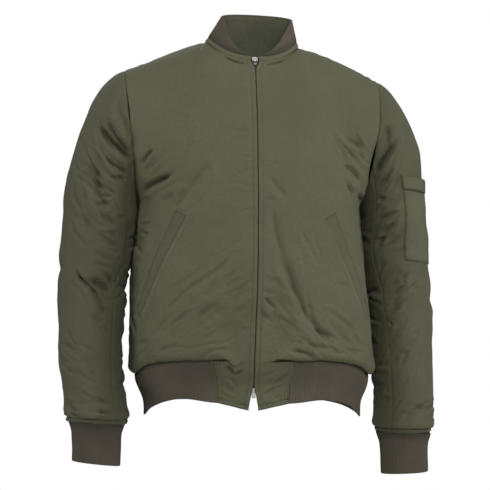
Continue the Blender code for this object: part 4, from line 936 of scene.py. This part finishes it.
for side, word in sides:
    place = frontPlace(side)
    columns = spread(0.36)
    rows = evenRows(place, 0.35, lowerRows + upperRows)
    grid = place(*np.meshgrid(columns, rows))
    swell, drop = lipShare(grid, columns[None], lip[word])
    run, above = lengths(grid, 1), lengths(grid, 0)
    at, half, deep = lip["hook"]
    sag = bell(run - at, half) * bell(above, 0.012) * (side < 0)
    push, ridge = frontExtra(grid, columns[None])
    rear = run[:, -1:] - run
    push = push + armBulge["out"] * bell(grid[..., 2] - armBulge["height"], armBulge["half"]) * (
        smooth(rear / armBulge["edge"]) * bell(rear, armBulge["reach"]))
    # light: painted highlight along the pocket's ridge
    piece = clothPiece("front_" + word, grid, side < 0, sewn=("last", "low", "top"), free=("first",),
                       folds=frontFolds[word] + scattered(frontPatches[word], 40 + side), seed=1 if side > 0 else 2,
                       drop=drop + deep * sag, extra=lip["out"] * swell + push + lip["hookOut"] * sag, light=ridge,
                       calm=0.01 * (1 - fade(run, (0.016, 0.030))), places=(columns, rows),
                       grooves=[("first", stitchAt["front"], 0.0004, 0.0014)])
    settle(piece, "shell", shellFront, (0.36, 0.66), 0.13, restsOn=["hem_rib"])

backStep = 0.0036
half = spread(0.30, backStep)
half = half[half > 0.012]
columns = np.concatenate([-half[::-1], [0.0], half])
rows = evenRows(backPlace, 0.35, lowerRows + upperRows, backStep)
grid = backPlace(*np.meshgrid(columns, rows))
run = lengths(grid, 1)
swell, drop = lipShare(grid, np.abs(columns)[None], lip["left"])
piece = clothPiece("back", grid, True, folds=backFolds + scattered(backPatches, 43), seed=3,
                   across=run - run[:, len(columns) // 2, None], sewn=("first", "last", "low", "top"),
                   extra=0.8 * lip["out"] * swell, drop=drop)
settle(piece, "shell", shellPlain, (0.60, 0.68), 0.29, restsOn=["hem_rib"])
print("fronts and back made")

# ---- sleeves

sleeveFolds = {  # as the fronts', across from the outside of the arm
    "left": [
        (-90, -134, -187, -199, -3.2, 4.6, 4.5, 1.4), (-83, -112, -128, -135, -2.2, 2, 5, 0.8),
        (-135, -234, -163, -237, 0, 3, 2.8, 1), (-136, -197, -170, -224, -0.1, 1.6, 4.5, 0.5),
        (-105, -226, -130, -254, 0.5, 1.4, 5, 0.5), (-112, -269, -130, -288, 0.3, 1.6, 3, 0.6),
        (-107, -298, -126, -316, -0.4, 1.6, 3, 0.6), (-139, -264, -157, -284, -1.8, 2, 3, 0.8),
        (-136, -301, -153, -319, -0.6, 1.8, 3, 0.7), (-131, -341, -149, -358, -1.7, 1.6, 3, 0.6),
        (-115, -341, -123, -436, 1.8, 1.2, 9, 0.4), (-130, -412, -136, -423, -3, 1.8, 3, 0.7),
        (-123, -443, -132, -450, 0, 2.6, 3.2, 1), (-113, -493, -89, -493, -2.3, 0.9, 3.5, 0.4),
        (-99, -606, -55, -591, 4.6, 1.4, 4, -0.7), (-122, -526, -112, -499, 2, 1, 6, 0.4),
        (72, -120, 180, -190, -6, 4.2, 5.5, 1.8), (100, -200, 165, -225, -3, 2.6, 4.5, 1),
        (75, -290, 150, -318, -5, 2.6, 6, 1.2), (120, -345, 160, -352, 2, 1.8, 4, 0.7),
        (70, -402, 140, -388, 5, 3.4, 6, -1.6), (-40, -405, 40, -388, -4, 1.8, 8, -0.9),
        (40, -470, 110, -500, 6, 1.8, 7, 0.8), (0, -550, 60, -570, 3, 1.4, 6, 0.6),
        (30, -585, 85, -596, 4, 1.4, 4, -0.6),
    ],
    "right": [
        (-65, -117, -184, -177, 6.6, 6.5, 4, -2), (-80, -111, -174, -168, 4.4, 5.5, 3, -0.6),
        (-69, -78, -141, -139, -2, 2.2, 4, 0.8), (-105, -175, -170, -200, 3.8, 3, 4, 1.2),
        (-121, -210, -161, -208, -0.4, 2.2, 2.5, -0.8), (-64, -183, -115, -274, -9.7, 3.2, 9, 1),
        (-111, -267, -134, -291, 1.1, 1.8, 5, 0.6), (-102, -302, -145, -322, 3.8, 2.2, 4, 0.8),
        (-77, -272, -91, -311, -0.3, 1.5, 8, 0.5), (-118, -326, -147, -332, -0.1, 1.6, 3, 0.5),
        (-86, -377, -134, -399, -2.2, 4.5, 5.5, -0.6), (-92, -388, -120, -432, -2.3, 3, 4, 1.8),
        (-56, -376, -90, -399, -3.3, 1.6, 7, 0.6), (-26, -488, -73, -503, -6.3, 1.8, 5, 0.8),
        (-73, -503, -95, -542, -1.4, 1.8, 6, 0.8), (-86, -570, -120, -580, 2.8, 2.2, 3.5, 0.9),
        (-30, -588, -54, -597, -1, 2.2, 3.5, -0.9), (-53, -531, -91, -555, -3.9, 1, 6, 0.4),
        (-78, -606, -101, -607, -4.4, 1.2, 2.2, 0.4), (65, -128, 175, -200, -5, 4.6, 5, 1.8),
        (85, -112, 150, -155, 3, 2.6, 4.5, -1), (95, -236, 160, -262, -3, 2.4, 4.5, 1),
        (20, -255, 60, -330, 5, 1.5, 9, 0.7), (80, -320, 150, -342, -5, 2.8, 6, 1.2),
        (65, -385, 140, -405, 5, 3.6, 6, -1.4), (85, -412, 130, -438, -3, 2.4, 5, 1.2),
        (-35, -352, 30, -368, 4, 1.8, 8, 0.9), (30, -490, 105, -512, 6, 1.8, 7, 0.8),
        (90, -560, 125, -578, 3, 1.8, 5, 0.8), (10, -598, 60, -588, 3, 1.2, 4, 0.6),
    ],
}
sleevePatches = {
    "left": [
        (-140, -165, 35, 40, 42, 35, 1, 12), (-125, -270, 22, 70, 35, 22, 1, 24),
        (-110, -390, 22, 60, 40, 22, 1, 16), (-90, -500, 35, 50, 60, 40, 0.7, 10),
        (-50, -595, 60, 14, 12, 28, 1, 12), (110, -170, 50, 50, -40, 35, 1, 14),
        (110, -310, 30, 70, -25, 30, 1, 16), (100, -420, 35, 50, 15, 30, 1, 14),
        (70, -550, 50, 50, -20, 30, 0.8, 14),
    ],
    "right": [
        (-120, -160, 55, 50, 38, 45, 1, 18), (-90, -250, 45, 60, 48, 40, 1, 22),
        (-125, -300, 22, 80, 25, 20, 1, 24), (-100, -400, 40, 30, 45, 32, 1.1, 14),
        (-115, -460, 22, 50, 30, 20, 0.9, 14), (-60, -520, 45, 50, 25, 35, 0.8, 14),
        (-60, -592, 60, 14, 8, 28, 1.1, 14), (110, -170, 50, 50, -36, 35, 1, 14),
        (110, -310, 30, 70, -22, 30, 1, 16), (100, -420, 35, 50, 10, 30, 1, 14),
        (60, -550, 55, 50, -15, 30, 0.8, 14),
    ],
}
underPatches = [
    (60, -250, 40, 40, 15, 30, 0.8, 8), (60, -380, 50, 70, -10, 30, 1, 16), (60, -530, 50, 60, 10, 30, 0.9, 14),
]
underFolds = [
    (10, -300, 100, -312, 3, 1.8, 5, 0.8), (20, -398, 110, -384, -3, 2, 5, -0.8),
    (10, -470, 90, -484, 3, 1.4, 6, 0.6), (25, -556, 100, -548, 2, 1.6, 5, 0.7),
]
sleevePuff = {"out": 0.0022, "above": 0.018, "half": 0.008}  # fullness above the stitched end
toBody = {"out": 0.0055, "height": -0.300, "half": 0.055, "edge": 0.03}  # the right under sleeve, nearer the side


def sleevePlace(side):
    def place(column, row):
        return poseSleeve(onSide(side, sleevePoint(column * 2 * pi / 24, row)))
    return place


sleeveParts = {  # first and last column of 24 round the arm, width, cut, pucker, finish
    "top": (4, 20, 0.27, ((0.34, 0.66), 0.16), 1.7, shellSleeve),
    "under": (-4, 4, 0.12, ((0.16, 0.50), 0.06), 1.0, shellUnder),
}
for side, word in sides:
    place = sleevePlace(side)
    for part, (first, last, width, cut, pucker, finish) in sleeveParts.items():
        top = part == "top"
        columns = first + (last - first) * spread(width)
        rows = evenRows(place, 12.0 if top else 0.0, capRows + armRows)
        grid = place(*np.meshgrid(columns, rows))
        run, fall = lengths(grid, 1), lengths(grid, 0)
        extra = sleevePuff["out"] * bell(fall[-1:] - fall - sleevePuff["above"], sleevePuff["half"])
        if top:
            middle = np.array([np.interp(12.0, columns, line) for line in run])[:, None]
            folds = sleeveFolds[word] + scattered(sleevePatches[word], 46 + side)
        else:
            middle, folds = 0.0, underFolds + scattered(underPatches, 49 + side)
        if not top and side < 0:
            share = smooth(run / toBody["edge"]) * smooth((run[:, -1:] - run) / toBody["edge"])
            extra = extra + toBody["out"] * np.exp(-((grid[..., 2] - toBody["height"]) / toBody["half"]) ** 4) * share
        piece = clothPiece("sleeve_%s_%s" % (part, word), grid, side > 0, folds=folds, across=run - middle,
                           sewn=("first", "last", "low"), seed=4 + side + top, extra=extra, pucker=pucker,
                           grooves=[("top", stitchAt["sleeve"], 0.0030, 0.0020)], places=(columns, rows))
        settle(piece, "shell", finish, *cut, restsOn=["cuff_" + word])
print("sleeves made")

# ---- pockets

pocket = {
    "columns": (7, 14), "top": -0.195, "flap": -0.219, "foot": -0.338, "slope": -0.008,
    "wall": 0.0016, "flapWall": 0.0030, "corner": 0.0035,
}


def weltProfile(run, back, fall, rest):  # a raised lip along the front edge, fading at both ends
    ends = smooth(fall / 0.012) * smooth(rest / 0.012)
    raised = bell(run - welt["lipAt"], welt["lipHalf"])
    return welt["lip"] * (raised * ends - smooth((run - 0.005) / 0.004) * smooth(back / 0.006))


for side, word in sides:
    share, along = np.meshgrid(spread(0.026, 0.0012), spread(0.193, 0.0022))
    columns = 2 * (read(welt["line"], 2, along) + welt["turn"] * share)
    heights = read(welt["line"], 1, along) + welt["rise"] * share
    # light: painted highlight along the welt's front edge
    piece = laidPiece("pocket_welt_" + word, "front_" + word, columns, heights, welt["wall"],
                      gap=0.0001, profile=weltProfile, seed=31 + side, light=0.9)
    settle(piece, "shell", shellWelt, (0.026, 0.195), 0.0049, held="stretched", restsOn=["front_" + word])

first, last = pocket["columns"]


def pocketGrid(top, foot, step):
    share, along = np.meshgrid(spread(0.125, 0.0022), spread(abs(top - foot), step))
    return first + (last - first) * share, top + (foot - top) * along + pocket["slope"] * share


def flapProfile(run, back, fall, rest):  # stands proud at its rear top corner
    return pocket["corner"] * bell(back - 0.085, 0.030) * bell(fall, 0.012) * smooth(fall / 0.003)


pocketParts = [  # name, top, foot, mesh spacing, wall, profile, cut
    ("sleeve_pocket", pocket["flap"] - 0.0003, pocket["foot"], 0.0022, pocket["wall"], None, ((0.125, 0.125), 0.0150)),
    ("sleeve_pocket_flap", pocket["top"], pocket["flap"] + 0.0003, 0.0012, pocket["flapWall"], flapProfile,
     ((0.125, 0.026), 0.0032)),
]
for k, (name, top, foot, step, wall, profile, cut) in enumerate(pocketParts):
    piece = laidPiece(name, "sleeve_top_left", *pocketGrid(top, foot, step), wall, profile=profile, seed=33 + k)
    settle(piece, "shell", shellPocket, *cut, held="stretched", restsOn=["sleeve_top_left"])
print("pockets made")

# ---- knitted bands

rib = {
    "pitch": 0.0025, "rise": 0.0003, "wall": 0.0030, "perRib": 4, "rows": 0.0066,
    "waveSize": 0.045, "seamDip": 0.0010,
    "tuck": 0.0150, "backLift": 0.0065,  # the hem rib runs up behind the shell, and is shorter at the back
}


def ribPiece(name, place, length, height, flip, ring, seed, wave=0.0006):
    count = round(length / rib["pitch"]) * rib["perRib"]
    t = np.arange(count + (0 if ring else 1)) / count
    s = spread(height, rib["rows"], (0.0, 0.0006, 0.0014))
    grid = place(*np.meshgrid(t, s))
    normal = normalsOf(grid, ring) * (-1 if flip else 1)
    fall = lengths(grid, 0)
    phase = t * count / rib["perRib"]
    crest = 0.5 + 0.5 * np.cos(2 * pi * phase)
    roll = edgeRoll(fall[-1:] - fall, rib["wall"])
    slow = wave * drape(grid, rib["waveSize"], seed)
    push = rib["rise"] * crest[None] * smooth(fall / 0.003 + 0.2) + slow - rib["seamDip"] * bell(fall, 0.002)
    outer = grid + normal * (push - roll)[..., None]
    inner = grid + normal * (slow - rib["wall"] + roll)[..., None]
    fields = {"cloth": point(phase[None] + 0 * fall, fall, fall)}
    return meshPiece(name, outer, inner, flip, fields, ring, grid)


def bothSides(turn):  # turn on one side of the body, and which side
    return np.where(turn <= 1, turn, 2 - turn), np.where(turn <= 1, 1.0, -1.0)


def hemPlace(t, share):  # from the wearer's left tab round the back to the right one
    turn, side = bothSides(tabTurn + (2 - 2 * tabTurn) * t)
    length = read(torso["hemLine"], 2, turn) - rib["backLift"] * fade(turn, (0.50, 0.72))
    below = length * share - rib["tuck"] * (1 - share)
    return poseTorso(bandPoint(turn, below) * point(side, 1, 1))


settle(ribPiece("hem_rib", hemPlace, 0.98, 0.063, True, False, 21), "rib", ribKnit, (1.10, 0.065), 0.062)


def cuffPlace(side):
    def place(t, share):
        return poseSleeve(onSide(side, cuffPoint(t * 2 * pi, cuffShape["length"] * share)))
    return place


for side, word in sides:
    settle(ribPiece("cuff_" + word, cuffPlace(side), 0.275, 0.067, side > 0, True, 22 + side),
           "rib", cuffKnit, (0.29, 0.068), 0.0185)


neckCloth = {
    "bandWall": 0.0022, "bandSwell": 0.0009, "facingWall": 0.0012,
    "behind": 0.0033, "below": 0.0035,  # how far the facing lies inside the rib, and under its top edge
    "foot": (0.002, -0.024), "footFrom": 0.15, "footOver": 0.30,  # its lower edge at the front, and further back
}


def collarRise(turn):
    return collarShape["band"] + read(collarShape["rows"], 1, turn)


def bandRise(turn):
    return collarShape["band"] + 0 * turn


def neckPlace(low, high):  # between two heights, from the wearer's left end of the collar round to the right
    def place(t, share):
        turn, side = bothSides(2 * t)
        p = collarPoint(turn, low(turn) + (high(turn) - low(turn)) * share)
        opened = p + point(frontEdges["atSlider"] * np.clip(1 - turn / 0.06, 0, 1), 0, 0)
        return poseTorso(opened * point(side, 1, 1))
    return place


settle(ribPiece("collar_rib", neckPlace(bandRise, collarRise), 0.43, 0.044, False, False, 24, 0.0004),
       "rib", ribKnit, (0.46, 0.056), 0.018, restsOn=["neck_band"])
shares = np.linspace(0, 1, 9)
grid = neckPlace(lambda turn: 0 * turn, bandRise)(*np.meshgrid(np.linspace(0, 1, 160), shares))
piece = clothPiece("neck_band", grid, False, neckCloth["bandWall"], free=("first", "last"), drapeShare=0.3,
                   extra=neckCloth["bandSwell"] * np.sin(pi * shares)[:, None])
settle(piece, "shell", shellPlain, (0.46, 0.010), 0.0037, held="stretched",
       restsOn=["front_left", "front_right", "back"])


def facingTop(turn):
    return collarRise(turn) - neckCloth["below"] * smooth(read(collarShape["rows"], 1, turn) / 0.010)


def facingFoot(turn):  # the facing reaches down inside the neck, most at the back
    high, fall = neckCloth["foot"]
    return high + fall * smooth((turn - neckCloth["footFrom"]) / neckCloth["footOver"])


grid = neckPlace(facingFoot, facingTop)(*np.meshgrid(np.linspace(0, 1, 200), np.linspace(0, 1, 26)))
grid = grid - normalsOf(grid) * neckCloth["behind"]
piece = clothPiece("collar_facing", grid, False, neckCloth["facingWall"], free=("top", "first", "last"),
                   drapeShare=0.4)
settle(piece, "facing", facingCloth, (0.46, 0.066), 0.0225, restsOn=["collar_rib"])
print("knitted bands and collar made")

# ---- hem tabs

tab = {"drop": 0.011, "notch": (-0.546, -0.585), "notchHalf": 0.0077}
tabFolds = {
    "left": [
        (64, -520, 17, -550, 4, 1.8, 2.8, 0.8), (48, -546, 13, -564, -2, 1.4, 2.6, -0.6),
        (34, -522, 12, -533, 1, 1.2, 2.4, 0.5), (60, -545, 24, -574, 3, 1, 2.6, 0.4),
    ],
    "right": [
        (47, -516, 33, -531, -1.5, 2.8, 2.4, -1.2), (35, -531, 18, -522, 1.5, 2.4, 2.4, -1),
        (40, -535, 23, -558, -2, 1.2, 2.6, 0.6), (52, -541, 22, -563, 1, 1.2, 2.6, -0.6),
        (54, -556, 26, -572, 2, 0.8, 2.6, -0.4),
    ],
}


def tabPlace(side):
    def place(u, share):
        turn = u * tabTurn
        below = share * (read(torso["hemLine"], 2, turn) + tab["drop"] * (1 - turn / tabTurn))
        p = bandPoint(turn, below)
        top, foot = tab["notch"]
        opened = np.clip((top - p[..., 2]) / (top - foot), 0, 1)
        near = frontEdges["edge"] + (tab["notchHalf"] - frontEdges["edge"]) * opened
        return poseTorso(onSide(side, p + point(near * np.clip(1 - 2 * u, 0, 1), 0, 0)))
    return place


for side, word in sides:
    grid = tabPlace(side)(*np.meshgrid(spread(0.062, 0.002), spread(0.073, 0.002)))
    piece = clothPiece("hem_tab_" + word, grid, side > 0, folds=tabFolds[word], free=("first", "last", "top"),
                       seed=7, drapeShare=0.6, calm=0.01,
                       grooves=[("top", stitchAt["tab"], 0.0012, 0.0014), ("last", 0.0050, 0.0007, 0.0012)])
    settle(piece, "shell", shellTab, (0.066, 0.084), 0.0052, restsOn=["hem_rib"])
print("hem tabs made")

# ---- zip

zipShape = {
    "edgeRun": 0.0026, "gap": 0.0005,
    "tapeWall": 0.0008, "tapeOuter": 0.0140, "tapeInner": 0.0031, "tapeInnerAtSlider": 0.0054,
    "foot": -0.552, "top": -0.0170, "pitch": 0.0026,
    "tooth": [(0.00, 0.00072), (0.55, 0.00060), (0.72, 0.00095), (1.00, 0.00080)],  # share of the reach, half height
    "toothReach": 0.0027, "toothWall": 0.0018,
}


def edgeLine(word):  # outer side and normal of a front's own edge, from the foot of its tab up
    grids = []
    for part in (hosts["hem_tab_" + word], hosts["front_" + word]):
        start = int(np.argmax(lengths(part["outer"], 1)[5] > zipShape["edgeRun"]))
        grids.append(np.stack([part["outer"], part["normal"]])[:, :, start:start + 24])
    both = np.concatenate([grids[0][:, ::-1], grids[1]], axis=1)
    return both[0], both[1]


def inFrom(line, facing, reach):  # points and normals on the cloth at distances in from its edge column
    run = lengths(line, 1)
    k = np.stack([np.interp(reach[j], run[j], np.arange(run.shape[1])) for j in range(len(run))])
    i = np.minimum(k.astype(int), run.shape[1] - 2)
    t = (k - i)[..., None]
    row = np.arange(len(run))[:, None]
    outward = unit(line[:, 1] - line[:, 0])[:, None] * np.minimum(reach, 0)[..., None]
    return (line[row, i] * (1 - t) + line[row, i + 1] * t + outward,
            unit(facing[row, i] * (1 - t) + facing[row, i + 1] * t))


edgeLines = {word: edgeLine(word) for word in ("left", "right")}


def alongZip(heights):  # middle of the zip just behind the cloth, with its inward and upward directions
    ends = []
    for grid, normals in edgeLines.values():
        line, facing = grid[:, 0], normals[:, 0]
        order = np.argsort(line[:, 2])
        ends.append([np.stack([np.interp(heights, line[order, 2], values[order, k]) for k in range(3)], axis=-1)
                     for values in (line, facing)])
    middle = (ends[0][0] + ends[1][0]) / 2
    inward = -unit((ends[0][1] + ends[1][1]) * (0, 1, 1))
    up = unit(np.gradient(middle, axis=0))
    return middle + inward * (cloth["wall"] + zipShape["gap"]), inward, up


def tapePiece(word, side):
    line, facing = edgeLines[word]
    keep = (line[:, 0, 2] > zipShape["foot"]) & (np.r_[True, np.diff(line[:, 0, 2]) > 0])
    line, facing = line[keep], facing[keep]
    middle = alongZip(line[:, 0, 2])[0]
    share = fade(line[:, 0, 2], (-0.036, -0.021))
    near = (zipShape["tapeInner"] + (zipShape["tapeInnerAtSlider"] - zipShape["tapeInner"]) * share)[:, None]
    reach = near + (zipShape["tapeOuter"] - near) * np.linspace(0, 1, 6)[None]
    own = np.abs(line[:, 0, 0] - middle[:, 0])[:, None]
    place, normal = inFrom(line, facing, reach - own)
    outer = place - normal * (cloth["wall"] + zipShape["gap"])
    inner = outer - normal * zipShape["tapeWall"]
    fall = lengths(outer, 0)
    piece = meshPiece("zip_tape_" + word, outer, inner, side < 0, {"cloth": point(reach, fall, fall)})
    settle(piece, "tape", zipTape, (0.0115, 0.55), 0.0060, held="stretched", restsOn=["front_" + word])


for side, word in sides:
    tapePiece(word, side)

count = int((zipShape["top"] - zipShape["foot"]) / zipShape["pitch"])
heights = zipShape["foot"] + zipShape["pitch"] * (np.arange(count) + 0.5)
middle, inward, up = alongZip(heights)
points, faces = [], []
for k in range(count):
    side = 1 if k % 2 else -1
    shape = [(side * zipShape["toothReach"] * (1 - 1.35 * share), half) for share, half in zipShape["tooth"]]
    start = len(points)
    for x, half in shape:
        for depth in (0.0, zipShape["toothWall"]):
            for way in (-1, 1):
                points.append(middle[k] + np.array((x, 0, 0)) + up[k] * half * way + inward[k] * (depth + 0.0002))
    for j in range(len(shape) - 1):
        a, b = start + 4 * j, start + 4 * j + 4
        faces += [(a, a + 1, b + 1, b), (a + 2, b + 2, b + 3, a + 3),
                  (a, b, b + 2, a + 2), (a + 1, a + 3, b + 3, b + 1)]
    end = start + 4 * (len(shape) - 1)
    faces += [(start, start + 2, start + 3, start + 1), (end, end + 1, end + 3, end + 2)]
mesh = bpy.data.meshes.new("zip_teeth")
mesh.from_pydata([tuple(p) for p in points], [], faces)
tidy = bmesh.new()
tidy.from_mesh(mesh)
bmesh.ops.recalc_face_normals(tidy, faces=tidy.faces)
tidy.to_mesh(mesh)
tidy.free()
settle(linked("zip_teeth", mesh), "teeth", teethMetal, node="zip_chain")
print("zip made,", count, "teeth")

# metal of the zip: the solids' own shapes
for node, finish in (("zip_slider", nickel), ("zip_pull", gunmetal), ("zip_box", boxMetal)):
    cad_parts[node].data.materials.clear()
    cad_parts[node].data.materials.append(finish)

# ---- stage, light and camera

stage = {"floor": -1.45, "radius": 2.6, "colour": (0.80, 0.80, 0.79), "world": 0.165}
bpy.ops.mesh.primitive_circle_add(vertices=96, radius=stage["radius"], fill_type="NGON",
                                  location=(0, 0, stage["floor"]))
floor = bpy.context.object
floor.name = "floor"
floor.data.materials.append(Finish("paleFloor", stage["colour"], 0.9).material)

world = bpy.data.worlds.new("studio")  # white to the camera, dimmer as light
world.use_nodes = True
bpy.context.scene.world = world
nodes, links = world.node_tree.nodes, world.node_tree.links
nodes.clear()
out, mix, path, soft, white = (nodes.new("ShaderNode" + kind) for kind in (
    "OutputWorld", "MixShader", "LightPath", "Background", "Background"))
for sky, strength in ((soft, stage["world"]), (white, 1.0)):
    sky.inputs["Color"].default_value, sky.inputs["Strength"].default_value = (1, 1, 1, 1), strength
links.new(path.outputs["Is Camera Ray"], mix.inputs[0])
links.new(soft.outputs[0], mix.inputs[1])
links.new(white.outputs[0], mix.inputs[2])
links.new(mix.outputs[0], out.inputs[0])

lamps = [  # name, place, size, watts
    ("right", (2.6, -0.9, 0.9), 0.8, 42.0),
    ("left", (-2.6, -0.4, 0.6), 0.8, 28.0),
    ("top", (0.0, -1.6, 2.2), 0.9, 18.0),
    ("front", (0.2, -2.7, 0.75), 0.6, 43.0),
    ("rear", (0.0, 2.4, 1.3), 1.6, 22.0),
]
for name, spot, size, watts in lamps:
    lamp = bpy.data.lights.new(name, "AREA")
    lamp.energy, lamp.size = watts, size
    holder = linked(name, lamp)
    holder.location = spot
    holder.rotation_mode = "QUATERNION"
    holder.rotation_quaternion = (Vector((0, 0, -0.3)) - Vector(spot)).to_track_quat("-Z", "Y")

view = {"turn": radians(-7.0), "roll": radians(0.6), "distance": 3.0, "eye": -0.408, "aim": -0.3145,
        "shift": -0.0058, "lens": 129.65}
right = Vector((cos(view["turn"]), sin(view["turn"]), 0)) * view["shift"]
eye = Vector((sin(view["turn"]) * view["distance"], -cos(view["turn"]) * view["distance"], view["eye"])) + right
toward = (Vector((0, 0, view["aim"])) + right - eye).normalized()
camera = linked("camera", bpy.data.cameras.new("camera"))
camera.data.sensor_width, camera.data.lens = 36, view["lens"]
camera.location = eye
camera.rotation_mode = "QUATERNION"
camera.rotation_quaternion = Quaternion(toward, -view["roll"]) @ toward.to_track_quat("-Z", "Y")
bpy.context.scene.camera = camera
bpy.context.scene.view_settings.view_transform = "Standard"
print("stage, light and camera made")
